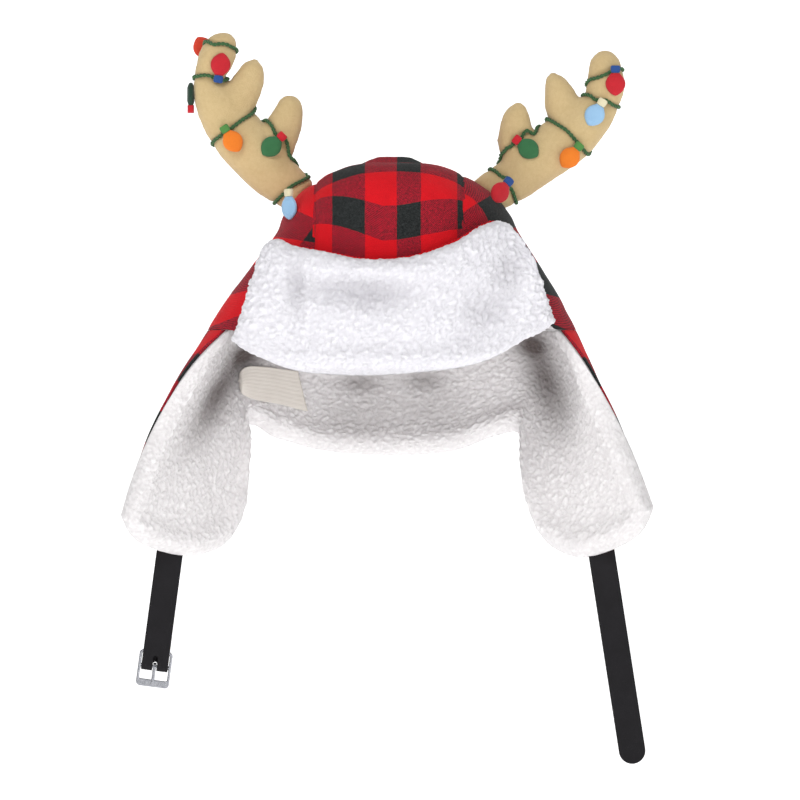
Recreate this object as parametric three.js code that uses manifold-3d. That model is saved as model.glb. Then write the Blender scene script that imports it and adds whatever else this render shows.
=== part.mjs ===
// Plaid trapper hat lined with curly pile: a crown, one curtain of ear flaps and nape, a turned-up
// brim, two chin straps with a pin buckle, and two stuffed felt antlers, each wound with a cord of
// flat felt light bulbs. Millimetres, +Z up, the front looks along -Y. The origin is the inner top
// of the crown, where the hat sits on a head. Left and right are those of someone facing the hat.

import * as THREE from "three";
import { mergeVertices } from "three/addons/utils/BufferGeometryUtils.js";
import Module from "manifold-3d";

// Driving dimensions
const GAP = 0.3; // between pieces that touch
const CLOTH = 2; // plaid cloth with its backing
const PILE = 9; // lining pile with its ground cloth
const CROWN_TOP = CLOTH + GAP + PILE;
const SQUARENESS = 2.5; // of the plan sections: 2 is an ellipse, more is boxier
const EDGE_ROUNDING = 0.45; // share of the pile's thickness that is left at a free edge
const SEAM_TURN = 30; // degrees from the centre line to a crown panel seam
const SEAM_DIP = 1.5;
const SEAM_WIDTH = 6; // degrees
const REAR_FOLD = { x: 1, y: 32, height: 6.5, wide: 21, deep: 11 };

const CROWN_COLUMNS = 36;
const CROWN_ROWS = 8;
const CURTAIN_COLUMNS = 38;
const CURTAIN_ROWS = 7;

// Plan sections of the crown's outside, from its top to the lowest point of its front rim.
const CROWN_SECTIONS = [
  { height: CROWN_TOP, middle: 2, half: 0, front: 0, back: 0 },
  { height: 10, middle: 2, half: 28, front: 44, back: 42 },
  { height: 5, middle: 2.5, half: 46, front: 62, back: 60 },
  { height: -3, middle: 2.5, half: 60, front: 71, back: 70 },
  { height: -14, middle: 3, half: 74, front: 77, back: 77 },
  { height: -28, middle: 4, half: 85, front: 80, back: 81 },
  { height: -42, middle: 4.5, half: 91, front: 82, back: 83 },
  { height: -60, middle: 3.5, half: 104, front: 83, back: 84 },
  { height: -80, middle: 2, half: 118, front: 83, back: 84 },
  { height: -98, middle: 0.5, half: 129, front: 81, back: 82 },
  { height: -114, middle: 0, half: 138, front: 79, back: 80 },
  { height: -138, middle: 0, half: 146, front: 78, back: 79 },
];
const RIM_SIDE_STEP = 10; // the section where the rim lies at the sides and the back
const RIM_FRONT_STEP = 11; // and the section that it drops to at the front
const RIM_DROP = { full: 20, none: 60 }; // degrees from the front where the drop starts and ends

// Hem of the curtain, from the left flap's front edge round the nape to the right flap's. Each row
// joins the rim at a turn, in degrees from the front, to a hem point, along a line that bows out.
const BOW_AT = 0.3; // share of the way down at which the line is drawn outwards
const HEM = [
  { turn: 300, x: -203, y: -30, z: -252, bow: 16.5 },
  { turn: 293, x: -194, y: -24, z: -270, bow: 18.5 },
  { turn: 285, x: -174, y: -10, z: -280, bow: 19 },
  { turn: 276, x: -150, y: 8, z: -284, bow: 18 },
  { turn: 266, x: -128, y: 26, z: -276, bow: 15 },
  { turn: 256, x: -114, y: 38, z: -255, bow: 12 },
  { turn: 246, x: -111, y: 46, z: -228, bow: 9 },
  { turn: 236, x: -114, y: 54, z: -196, bow: 6 },
  { turn: 224, x: -90, y: 64, z: -196, bow: 4 },
  { turn: 208, x: -55, y: 74, z: -205, bow: 3 },
  { turn: 182, x: -6, y: 79, z: -209, bow: 3 },
  { turn: 156, x: 45, y: 74, z: -206, bow: 3 },
  { turn: 139, x: 78, y: 65, z: -195, bow: 4 },
  { turn: 128, x: 96, y: 56, z: -194, bow: 6 },
  { turn: 118, x: 98, y: 48, z: -222, bow: 8 },
  { turn: 108, x: 103, y: 40, z: -246, bow: 10 },
  { turn: 98, x: 117, y: 26, z: -273, bow: 12 },
  { turn: 88, x: 140, y: 8, z: -285, bow: 13 },
  { turn: 78, x: 166, y: -10, z: -279, bow: 12.5 },
  { turn: 69, x: 187, y: -24, z: -266, bow: 11 },
  { turn: 62, x: 196, y: -30, z: -246, bow: 10 },
];

// The turned-up brim, in ribs from left to right, each from its fold at the foot to its free edge.
const BRIM_PILE = 13;
const BRIM_LEAN = 7; // the free edge stands this far off the crown at the middle
const BRIM_FLARE = 11; // and this much wider than the crown at the sides
const BRIM_COLUMNS = 20;
const BRIM_ROWS = 6;
const BRIM_RIBS = [
  { footX: -113, footZ: -121, edgeX: -91, edgeZ: -58 },
  { footX: -101, footZ: -131, edgeX: -81, edgeZ: -50 },
  { footX: -74, footZ: -143, edgeX: -70, edgeZ: -54 },
  { footX: -47, footZ: -147, edgeX: -43, edgeZ: -59 },
  { footX: -15, footZ: -148, edgeX: -18, edgeZ: -63 },
  { footX: 17, footZ: -146, edgeX: 14, edgeZ: -61 },
  { footX: 50, footZ: -142, edgeX: 44, edgeZ: -51 },
  { footX: 75, footZ: -134, edgeX: 63, edgeZ: -40 },
  { footX: 95, footZ: -121, edgeX: 77, edgeZ: -36 },
  { footX: 106, footZ: -114, edgeX: 88, edgeZ: -47 },
  { footX: 113, footZ: -106, edgeX: 99, edgeZ: -66 },
];

// A folded satin tab sewn inside the nape: its place in the hem table and down the curtain.
const TAB = { from: 6.9, to: 8.8, top: 0.4, foot: 0.7, slant: 0.03, thick: 1.6, columns: 6, rows: 4 };

// Antlers: limbs of round-ended stuffed felt, by their centre line and half width.
const ANTLER_BACK = 10; // the antlers' middle plane lies this far behind the crown's
const ANTLER_FLATNESS = 0.8; // thickness over width
const ANTLER_SIDES = 10;
const RINGS_PER_ROW = 1.35;
const LEFT_BEAM = [
  { x: -55, z: -23, half: 12.8 },
  { x: -70, z: -12, half: 13.5 },
  { x: -85, z: -1, half: 16.5 },
  { x: -97.5, z: 11, half: 18 },
  { x: -110, z: 27, half: 19.5 },
  { x: -120, z: 38, half: 18 },
  { x: -130, z: 55, half: 16.5 },
  { x: -137, z: 69, half: 11.8 },
  { x: -137, z: 77, half: 10.3 },
  { x: -132.5, z: 89, half: 12.2 },
  { x: -129, z: 97, half: 11.6 },
  { x: -125.5, z: 104, half: 8.5 },
  { x: -123.5, z: 109.5, half: 0 },
];
const LEFT_MIDDLE_TINE = [
  { x: -123, z: 49, half: 14 },
  { x: -113, z: 63, half: 13 },
  { x: -106.5, z: 76, half: 9.3 },
  { x: -103.5, z: 84, half: 6.8 },
  { x: -102, z: 89.5, half: 0 },
];
const LEFT_LOWER_TINE = [
  { x: -95, z: 12, half: 15 },
  { x: -85, z: 31, half: 13.5 },
  { x: -81, z: 40, half: 12.2 },
  { x: -77.5, z: 49, half: 10 },
  { x: -76, z: 57.5, half: 7.5 },
  { x: -75, z: 62.5, half: 0 },
];
const RIGHT_BEAM = [
  { x: 57, z: -23, half: 13 },
  { x: 71, z: -12.5, half: 14 },
  { x: 88, z: -3.5, half: 15 },
  { x: 99, z: 6, half: 17 },
  { x: 112, z: 16, half: 18 },
  { x: 125, z: 25, half: 18.5 },
  { x: 136, z: 34.5, half: 19 },
  { x: 147, z: 45, half: 16.5 },
  { x: 156, z: 54, half: 12.8 },
  { x: 160, z: 65, half: 12.6 },
  { x: 161, z: 73, half: 13 },
  { x: 160, z: 83, half: 10.9 },
  { x: 160, z: 90.5, half: 8.8 },
  { x: 160.5, z: 96, half: 0 },
];
const RIGHT_MIDDLE_TINE = [
  { x: 137, z: 39, half: 15 },
  { x: 128.5, z: 54, half: 12.5 },
  { x: 126, z: 62, half: 10.8 },
  { x: 123, z: 70.5, half: 7.8 },
  { x: 121, z: 76, half: 5 },
  { x: 120.5, z: 79.5, half: 0 },
];
const RIGHT_LOWER_TINE = [
  { x: 102, z: 9, half: 15 },
  { x: 93.5, z: 24, half: 13 },
  { x: 93, z: 34, half: 12 },
  { x: 93, z: 42, half: 10.2 },
  { x: 94.5, z: 50, half: 7.6 },
  { x: 95.5, z: 57.5, half: 0 },
];

// Cord wound round each antler: the route by hand, in front of it, behind it and round its edges.
const CORD = { diameter: 3, clearance: 0.8, sides: 5, step: 5.2 };
const REACH = { front: -18, edge: 0, back: 18 }; // of a route point from the antlers' middle plane
const LEFT_ROUTE = [
  { x: -74, z: -4, pass: "back" },
  { x: -86, z: -14, pass: "edge" },
  { x: -73, z: -6, pass: "front" },
  { x: -61, z: 3, pass: "edge" },
  { x: -66, z: 9, pass: "back" },
  { x: -71, z: 14, pass: "edge" },
  { x: -76, z: 22, pass: "front" },
  { x: -85, z: 32, pass: "front" },
  { x: -95, z: 43, pass: "edge" },
  { x: -110, z: 33, pass: "back" },
  { x: -136, z: 25, pass: "edge" },
  { x: -120, z: 38, pass: "front" },
  { x: -103, z: 52, pass: "edge" },
  { x: -126, z: 62, pass: "back" },
  { x: -150, z: 76, pass: "edge" },
  { x: -137, z: 75, pass: "front" },
  { x: -125, z: 73, pass: "edge" },
  { x: -134, z: 87, pass: "back" },
  { x: -141, z: 102, pass: "edge" },
  { x: -130, z: 102, pass: "front" },
  { x: -116, z: 96, pass: "edge" },
  { x: -125, z: 93, pass: "back" },
];
const RIGHT_ROUTE = [
  { x: 82, z: -6, pass: "back" },
  { x: 74, z: 6, pass: "edge" },
  { x: 85, z: 0, pass: "front" },
  { x: 94, z: -20, pass: "edge" },
  { x: 87, z: -3, pass: "back" },
  { x: 79, z: 14, pass: "edge" },
  { x: 87, z: 24, pass: "front" },
  { x: 99, z: 34, pass: "front" },
  { x: 112, z: 36, pass: "edge" },
  { x: 117, z: 38, pass: "back" },
  { x: 115, z: 45, pass: "edge" },
  { x: 131, z: 35, pass: "front" },
  { x: 148, z: 18, pass: "edge" },
  { x: 149, z: 42, pass: "back" },
  { x: 144, z: 62, pass: "edge" },
  { x: 157, z: 58, pass: "front" },
  { x: 172, z: 53, pass: "edge" },
  { x: 160, z: 61, pass: "back" },
  { x: 146, z: 71, pass: "edge" },
  { x: 155, z: 79, pass: "front" },
  { x: 163, z: 82, pass: "front" },
  { x: 174, z: 82, pass: "edge" },
  { x: 165, z: 78, pass: "back" },
];

// Felt light bulbs: the middle of the cap, the direction of the tip in degrees from straight up, how
// far the face is turned to the right, and the side from which each lies against what carries it.
const BULB = { length: 17, width: 15, thick: 6, sides: 8 };
const CAP = { length: 5.4, width: 7.2, thick: 5, sides: 8 };
const BULB_PROFILE = [
  { along: 0, half: 0 },
  { along: 0, half: 0.42 },
  { along: 0.25, half: 0.86 },
  { along: 0.5, half: 1 },
  { along: 0.78, half: 0.72 },
  { along: 0.95, half: 0.3 },
  { along: 1, half: 0 },
];
const FELT = {
  red: "#c22a35",
  orangeRed: "#d9553a",
  orange: "#ef8f3c",
  green: "#3f7a4c",
  darkGreen: "#274634",
  paleBlue: "#a9cbe6",
  blue: "#2f5f9e",
  leaf: "#5f9a52",
  cream: "#e6dfc4",
};
const LEFT_BULBS = [
  { x: -137, z: 89, tip: -28, yaw: 0, from: "back", felt: "orangeRed", cap: "blue" },
  { x: -130.2, z: 74, tip: 9, yaw: 0, from: "front", felt: "red", cap: "blue" },
  { x: -147, z: 52, tip: -4, yaw: -90, from: "edge", felt: "darkGreen", cap: "red" },
  { x: -125.2, z: 36.5, tip: 147, yaw: 0, from: "front", felt: "orange", cap: "leaf" },
  { x: -82.5, z: 31, tip: -134, yaw: 0, from: "front", felt: "green", cap: "red" },
  { x: -77, z: -12, tip: 177, yaw: -45, from: "front", felt: "paleBlue", cap: "cream" },
];
const RIGHT_BULBS = [
  { x: 87, z: -3.5, tip: -138, yaw: 30, from: "front", felt: "red", cap: "blue" },
  { x: 93.5, z: 28.5, tip: 128, yaw: 0, from: "front", felt: "green", cap: "red" },
  { x: 140, z: 23.5, tip: -141, yaw: 0, from: "front", felt: "orange", cap: "leaf" },
  { x: 157.5, z: 56.5, tip: -149, yaw: 0, from: "front", felt: "paleBlue", cap: "cream" },
  { x: 167.5, z: 81.5, tip: 180, yaw: 0, from: "front", felt: "red", cap: "blue" },
];

// Straps, and the pin buckle that the left one is folded round. The buckle's bar is its origin.
const STRAP = { width: 20, thick: 1.8 };
const BAR_RADIUS = 1.3;
const FOLD_INSIDE = BAR_RADIUS + GAP;
const FOLD_OUTSIDE = FOLD_INSIDE + STRAP.thick;
const LEFT_STRAP = { x: -178, y: -1, z: -364.5, splay: -7.6, length: 84, tailLow: 15, tailHigh: 25 };
const RIGHT_STRAP = { x: 157.5, y: -2, z: -286, splay: 8.8, length: 157.5 };
const SLOT = { width: 3.4, high: 8, backHigh: 3.4 };
const BUCKLE = { width: 25, above: 12, below: 15.5, side: 2, topBar: 2.4, endBar: 5.5, thick: 2.6 };
const BUCKLE_CORNER = 3;
const PRONG = { width: 2.4, thick: 1.6, eye: 2.8, length: 14.2 };
const ROUND = 16; // sides of a small round piece

const RED_PLAID = "#a02832";
const PILE_WHITE = "#e6e4ea";
const ANTLER_TAN = "#c8af7d";
const CORD_GREEN = "#2f5137";
const STRAP_BLACK = "#28262b";
const SATIN = "#beb6ac";
const SILVER = "#c9cacd";

const wasm = await Module();
wasm.setup();

const hat = new THREE.Group();

function add(name, geometry, colour, roughness, metalness = 0, parent = hat) {
  const material = new THREE.MeshStandardMaterial({ color: colour, roughness, metalness });
  const mesh = new THREE.Mesh(geometry, material);
  mesh.name = name;
  parent.add(mesh);
  return mesh;
}

// Solids

function indexed(vertices, faces) {
  const geometry = new THREE.BufferGeometry();
  const numbers = vertices.flatMap((v) => [v.x, v.y, v.z]);
  geometry.setAttribute("position", new THREE.Float32BufferAttribute(numbers, 3));
  geometry.setIndex(faces.flat());
  return geometry;
}

function solid(geometry) {
  const bare = geometry.clone();
  bare.deleteAttribute("normal");
  bare.deleteAttribute("uv");
  const whole = mergeVertices(bare);
  return new wasm.Manifold(
    new wasm.Mesh({
      numProp: 3,
      vertProperties: new Float32Array(whole.attributes.position.array),
      triVerts: new Uint32Array(whole.index.array),
    }),
  );
}

function geometryOf(manifold) {
  const mesh = manifold.getMesh();
  const geometry = new THREE.BufferGeometry();
  geometry.setAttribute("position", new THREE.BufferAttribute(mesh.vertProperties, 3));
  geometry.setIndex(new THREE.BufferAttribute(mesh.triVerts, 1));
  return geometry;
}

// A closed body through rings of points, shut by a fan at each end. Seen along the loft, each ring
// runs the right-handed way round.
function loft(rings, first, last) {
  const count = rings[0].length;
  const vertices = [...rings.flat(), first, last];
  const faces = [];
  for (let i = 0; i < count; i++) {
    const next = (i + 1) % count;
    const end = (rings.length - 1) * count;
    faces.push([vertices.length - 2, next, i], [vertices.length - 1, end + i, end + next]);
    for (let j = 0; j < rings.length - 1; j++) {
      const low = j * count;
      const high = low + count;
      faces.push([low + i, low + next, high + next], [low + i, high + next, high + i]);
    }
  }
  return indexed(vertices, faces);
}

// A wall of cloth on a surface point(u, v), between two offsets along the surface's normal, which
// is the cross product of its u and v directions, unless edge(u, v) gives another. A wall that wraps
// closes on itself in u and runs from a single point at v = 0.
function wall({ point, columns, rows, outer, inner, edge = () => null, wraps = false }) {
  const STEP = 1e-3;
  const sheets = { outer: [], inner: [] };
  const vertices = [];
  for (let i = 0; i <= columns; i++) {
    for (const name of ["outer", "inner"]) {
      sheets[name].push([]);
    }
    for (let j = 0; j <= rows; j++) {
      if ((wraps && i === columns) || (wraps && j === 0 && i > 0)) {
        for (const name of ["outer", "inner"]) {
          sheets[name][i].push(sheets[name][0][j]);
        }
        continue;
      }
      const u = i / columns;
      const v = j / rows;
      const normal = edge(u, v) ?? new THREE.Vector3(0, 0, 1);
      if (edge(u, v) === null && !(wraps && j === 0)) {
        const [u0, u1] = wraps ? [u - STEP, u + STEP] : [Math.max(u - STEP, 0), Math.min(u + STEP, 1)];
        const [v0, v1] = [Math.max(v - STEP, 0), Math.min(v + STEP, 1)];
        const along = point(u1, v).sub(point(u0, v));
        normal.crossVectors(along, point(u, v1).sub(point(u, v0))).normalize();
      }
      const offsets = { outer: outer(u, v), inner: inner(u, v) };
      for (const name of ["outer", "inner"]) {
        sheets[name][i].push(vertices.length);
        vertices.push(point(u, v).addScaledVector(normal, offsets[name]));
      }
    }
  }
  const faces = [];
  const quad = (a, b, c, d) => {
    for (const face of [[a, b, c], [a, c, d]]) {
      if (new Set(face).size === 3) {
        faces.push(face);
      }
    }
  };
  const o = sheets.outer;
  const n = sheets.inner;
  for (let i = 0; i < columns; i++) {
    for (let j = 0; j < rows; j++) {
      quad(o[i][j], o[i + 1][j], o[i + 1][j + 1], o[i][j + 1]);
      quad(n[i][j], n[i][j + 1], n[i + 1][j + 1], n[i + 1][j]);
    }
    quad(o[i][rows], o[i + 1][rows], n[i + 1][rows], n[i][rows]);
    if (!wraps) {
      quad(o[i][0], n[i][0], n[i + 1][0], o[i + 1][0]);
    }
  }
  if (!wraps) {
    for (let j = 0; j < rows; j++) {
      quad(o[0][j], o[0][j + 1], n[0][j + 1], n[0][j]);
      quad(o[columns][j], n[columns][j], n[columns][j + 1], o[columns][j + 1]);
    }
  }
  return indexed(vertices, faces);
}

// The row at a fractional step of a table, on a smooth curve through its rows.
function rowAt(table, step) {
  const last = table.length - 1;
  const low = Math.min(Math.max(Math.floor(step), 0), last - 1);
  const t = step - low;
  const row = {};
  for (const column of Object.keys(table[0])) {
    const value = (i) => table[Math.min(Math.max(i, 0), last)][column];
    const [a, b, c, d] = [value(low - 1), value(low), value(low + 1), value(low + 2)];
    if (typeof b === "number") {
      const slopes = [(c - a) / 2, (d - b) / 2];
      row[column] = THREE.MathUtils.lerp(b, c, t * t * (3 - 2 * t));
      row[column] += t * (1 - t) * ((1 - t) * slopes[0] - t * slopes[1]);
    }
  }
  return row;
}

// Crown

const power = (value) => Math.sign(value) * Math.abs(value) ** (2 / SQUARENESS);

function crownAt(turn, step) {
  const section = rowAt(CROWN_SECTIONS, step);
  const angle = THREE.MathUtils.degToRad(turn);
  const offCentre = Math.abs(((turn % 180) + 180) % 180 - 90) - 90 + SEAM_TURN;
  const dip = SEAM_DIP * Math.exp(-((offCentre / SEAM_WIDTH) ** 2)) * Math.min(step / 2, 1);
  const side = power(Math.sin(angle));
  const ahead = power(Math.cos(angle));
  const x = section.middle + (section.half - dip) * side;
  const y = -(ahead > 0 ? section.front - dip : section.back - dip) * ahead;
  const away = ((x - REAR_FOLD.x) / REAR_FOLD.wide) ** 4 + ((y - REAR_FOLD.y) / REAR_FOLD.deep) ** 2;
  return new THREE.Vector3(x, y, section.height + REAR_FOLD.height * Math.exp(-away));
}

function rimStep(turn) {
  const fromFront = Math.abs(((turn + 180) % 360) - 180);
  const drop = 1 - THREE.MathUtils.smoothstep(fromFront, RIM_DROP.full, RIM_DROP.none);
  return THREE.MathUtils.lerp(RIM_SIDE_STEP, RIM_FRONT_STEP, drop);
}

function crownPoint(u, v) {
  const turn = 360 * (1 - u);
  return crownAt(turn, v * rimStep(turn));
}

// The direction in which cloth is measured where the crown meets the curtain.
function rimNormal(turn) {
  const along = crownAt(turn - 1, RIM_SIDE_STEP).sub(crownAt(turn + 1, RIM_SIDE_STEP));
  return along.cross(new THREE.Vector3(0, 0, -1)).setZ(0).normalize();
}

const crownWall = (outer, inner) =>
  wall({
    point: crownPoint,
    columns: CROWN_COLUMNS,
    rows: CROWN_ROWS,
    outer: () => outer,
    inner: () => inner,
    edge: (u, v) => (v === 1 ? rimNormal(360 * (1 - u)) : null),
    wraps: true,
  });
const LINING_FACE = -CLOTH - GAP;
const LINING_INSIDE = LINING_FACE - PILE;
const crownShell = add("crown_shell", crownWall(0, -CLOTH), RED_PLAID, 0.95);
add("crown_lining", crownWall(LINING_FACE, LINING_INSIDE), PILE_WHITE, 1);

// Ear flaps and nape

const rimTop = new THREE.Vector3(0, 0, -GAP);

function curtainAt(row, v) {
  const rim = crownAt(row.turn, RIM_SIDE_STEP).add(rimTop);
  const hem = new THREE.Vector3(row.x, row.y, row.z);
  const middle = rim.clone().lerp(hem, BOW_AT);
  const outward = new THREE.Vector3(middle.x, middle.y, 0).normalize();
  middle.addScaledVector(outward, 2 * row.bow);
  return new THREE.QuadraticBezierCurve3(rim, middle, hem).getPoint(v);
}

const hemRow = (u) => rowAt(HEM, u * (HEM.length - 1));
const curtainPoint = (u, v) => curtainAt(hemRow(u), v);
const roundedAt = (u, v) => (u === 0 || u === 1 || v === 1 ? EDGE_ROUNDING : 1);
const curtainWall = (outer, inner) =>
  wall({
    point: curtainPoint,
    columns: CURTAIN_COLUMNS,
    rows: CURTAIN_ROWS,
    outer: () => outer,
    inner,
    edge: (u, v) => (v === 0 ? rimNormal(hemRow(u).turn) : null),
  });
const curtainShell = add("curtain_shell", curtainWall(0, () => -CLOTH), RED_PLAID, 0.95);
const curtainLining = add(
  "curtain_lining",
  curtainWall(LINING_FACE, (u, v) => LINING_FACE - PILE * roundedAt(u, v)),
  PILE_WHITE,
  1,
);

function tabPoint(u, v) {
  const step = THREE.MathUtils.lerp(TAB.from, TAB.to, u);
  const down = THREE.MathUtils.lerp(TAB.top, TAB.foot, v) + TAB.slant * u;
  return curtainAt(rowAt(HEM, step), down);
}

const tabFace = LINING_INSIDE - GAP;
add(
  "inside_tab",
  wall({
    point: tabPoint,
    columns: TAB.columns,
    rows: TAB.rows,
    outer: () => tabFace,
    inner: () => tabFace - TAB.thick,
  }),
  SATIN,
  0.45,
);

// Turned-up brim

function crownFront(x, z, wider) {
  let low = 0;
  let high = RIM_FRONT_STEP;
  for (let i = 0; i < 20; i++) {
    const middle = (low + high) / 2;
    if (rowAt(CROWN_SECTIONS, middle).height > z) {
      low = middle;
    } else {
      high = middle;
    }
  }
  const section = rowAt(CROWN_SECTIONS, low);
  const across = Math.min(Math.abs(x - section.middle) / (section.half + wider), 1);
  return -section.front * (1 - across ** SQUARENESS) ** (1 / SQUARENESS);
}

function brimPoint(u, v) {
  const rib = rowAt(BRIM_RIBS, u * (BRIM_RIBS.length - 1));
  const x = THREE.MathUtils.lerp(rib.footX, rib.edgeX, v);
  const z = THREE.MathUtils.lerp(rib.footZ, rib.edgeZ, v);
  const y = crownFront(x, z, BRIM_FLARE * Math.sqrt(v) + GAP) - BRIM_LEAN * v;
  return new THREE.Vector3(x, y, z);
}

const brimEnd = (u, v) => (u === 0 || u === 1 || v === 0 || v === 1 ? EDGE_ROUNDING : 1);
const brimWall = (outer, inner) =>
  wall({ point: brimPoint, columns: BRIM_COLUMNS, rows: BRIM_ROWS, outer, inner });
const BRIM_SEAT = 1.1; // keeps the flat faces of the two curved pieces clear of each other
const brimFace = BRIM_SEAT + CLOTH;
add("brim_backing", brimWall(() => brimFace, () => BRIM_SEAT), RED_PLAID, 0.95);
const brimPile = brimWall(
  (u, v) => brimFace + GAP + BRIM_PILE * brimEnd(u, v),
  () => brimFace + GAP,
);
add("brim_pile", brimPile, PILE_WHITE, 1);

// Antlers

function limb(table) {
  const count = Math.round((table.length - 1) * RINGS_PER_ROW);
  const at = (step) => {
    const row = rowAt(table, step);
    return new THREE.Vector3(row.x, ANTLER_BACK, row.z);
  };
  const rings = [];
  for (let k = 0; k < count; k++) {
    const step = ((table.length - 1) * k) / count;
    const half = rowAt(table, step).half;
    const ahead = at(step + 0.05).sub(at(step)).normalize();
    const across = new THREE.Vector3(ahead.z, 0, -ahead.x);
    const ring = [];
    for (let i = 0; i < ANTLER_SIDES; i++) {
      const angle = (2 * Math.PI * i) / ANTLER_SIDES;
      const place = at(step).addScaledVector(across, half * Math.cos(angle));
      place.y += half * ANTLER_FLATNESS * Math.sin(angle);
      ring.push(place);
    }
    rings.push(ring);
  }
  return solid(loft(rings, at(0), at(table.length - 1)));
}

// The crown's outside, filled in, which the antlers' feet are cut to.
function crownBlock() {
  const rings = [];
  for (let j = 1; j <= CROWN_ROWS; j++) {
    const ring = [];
    for (let i = 0; i < CROWN_COLUMNS; i++) {
      const place = crownPoint(i / CROWN_COLUMNS, j / CROWN_ROWS);
      const outward = new THREE.Vector3(place.x, place.y, Math.max(place.z + 40, 0)).normalize();
      ring.push(place.addScaledVector(outward, 2 * GAP));
    }
    rings.push(ring);
  }
  const top = crownPoint(0, 0);
  const foot = new THREE.Vector3(0, 0, rings.at(-1)[0].z);
  return solid(loft(rings, top.setZ(top.z + 2 * GAP), foot));
}

const block = crownBlock();

function antler(name, beam, tines) {
  let whole = limb(beam);
  for (const tine of tines) {
    whole = whole.add(limb(tine));
  }
  return add(name, geometryOf(whole.subtract(block)), ANTLER_TAN, 0.95);
}

// Cord

const centreLine = (points) => new THREE.CatmullRomCurve3(points, false, "centripetal");

// The nearest point of a mesh's faces, and the direction out of the mesh there.
function nearest(mesh, place) {
  const { position } = mesh.geometry.attributes;
  const index = mesh.geometry.index.array;
  const triangle = new THREE.Triangle();
  const here = new THREE.Vector3();
  const best = { distance: Infinity, point: new THREE.Vector3(), normal: new THREE.Vector3() };
  for (let i = 0; i < index.length; i += 3) {
    triangle.a.fromBufferAttribute(position, index[i]);
    triangle.b.fromBufferAttribute(position, index[i + 1]);
    triangle.c.fromBufferAttribute(position, index[i + 2]);
    triangle.closestPointToPoint(place, here);
    const distance = here.distanceTo(place);
    if (distance < best.distance) {
      best.distance = distance;
      best.point.copy(here);
      triangle.getNormal(best.normal);
    }
  }
  return best;
}

function windCord(name, route, carrier) {
  const wanted = centreLine(
    route.map(({ x, z, pass }) => new THREE.Vector3(x, ANTLER_BACK + REACH[pass], z)),
  );
  const off = CORD.diameter / 2 + CORD.clearance;
  const count = Math.round(wanted.getLength() / CORD.step);
  const seat = (place) => {
    const { point, normal } = nearest(carrier, place);
    const away = place.clone().sub(point).normalize();
    return point.clone().addScaledVector(away.dot(normal) < 0 ? away.negate() : away, off);
  };
  let path = wanted;
  for (let i = 0; i < 2; i++) {
    path = centreLine(path.getSpacedPoints(count).map(seat));
  }
  const section = new THREE.Shape();
  for (let i = 0; i < CORD.sides; i++) {
    const angle = (2 * Math.PI * i) / CORD.sides;
    const corner = [Math.cos(angle), Math.sin(angle)].map((part) => (part * CORD.diameter) / 2);
    section[i === 0 ? "moveTo" : "lineTo"](...corner);
  }
  const steps = Math.round(path.getLength() / CORD.step);
  const tube = new THREE.ExtrudeGeometry(section, { steps, extrudePath: path, bevelEnabled: false });
  return add(name, tube, CORD_GREEN, 0.9);
}

// Felt bulbs

const PUSH = {
  front: new THREE.Vector3(0, 1, 0),
  back: new THREE.Vector3(0, -1, 0),
  edge: new THREE.Vector3(1, 0, 0),
};

const SEAT = 0.75; // between what is pushed and its carrier, so that their facets stay clear

// How far a group of meshes can move along a direction before it seats on a carrier.
function roomAhead(group, direction, carriers) {
  group.updateMatrixWorld(true);
  const ray = new THREE.Raycaster();
  let room = Infinity;
  for (const mesh of group.children) {
    const flat = mesh.geometry.index ? mesh.geometry.toNonIndexed() : mesh.geometry;
    const { position } = flat.attributes;
    for (let i = 0; i < position.count; i += 3) {
      const corners = [0, 1, 2].map((k) => new THREE.Vector3().fromBufferAttribute(position, i + k));
      const [a, b, c] = corners;
      const centre = a.clone().add(b).add(c).divideScalar(3);
      const halfway = [[a, b], [b, c], [c, a]].map(([p, q]) => p.clone().lerp(q, 0.5));
      for (const place of [...corners, centre, ...halfway]) {
        ray.set(place.applyMatrix4(mesh.matrixWorld), direction);
        const [hit] = ray.intersectObjects(carriers);
        room = Math.min(room, hit ? hit.distance : Infinity);
      }
    }
  }
  return room - SEAT;
}

function latheSolid(profile, size) {
  const points = profile.map(
    ({ along, half }) => new THREE.Vector2((half * size.width) / 2, along * size.length),
  );
  const shape = new THREE.LatheGeometry(points, size.sides);
  shape.rotateX(Math.PI / 2);
  shape.scale(1, size.thick / size.width, 1);
  return shape;
}

const CAP_PROFILE = [
  { along: 0, half: 0 },
  { along: 0, half: 1 },
  { along: 1, half: 0.92 },
  { along: 1, half: 0 },
];
const START = 60; // a bulb starts this far out before it is moved in to its carrier

function hangBulbs(side, bulbs, carriers) {
  bulbs.forEach(({ x, z, tip, yaw, from, felt, cap }, i) => {
    const group = new THREE.Group();
    hat.add(group);
    const name = `bulb_${side}_${i + 1}`;
    const bulb = add(name, latheSolid(BULB_PROFILE, BULB), FELT[felt], 0.9, 0, group);
    const top = add(`${name}_cap`, latheSolid(CAP_PROFILE, CAP), FELT[cap], 0.9, 0, group);
    bulb.position.z = CAP.length / 2 + GAP;
    top.position.z = -CAP.length / 2;
    group.rotation.set(0, ...[tip, yaw].map(THREE.MathUtils.degToRad), "ZYX");
    group.position.set(x, ANTLER_BACK, z).addScaledVector(PUSH[from], -START);
    group.position.addScaledVector(PUSH[from], roomAhead(group, PUSH[from], carriers));
  });
}

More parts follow.
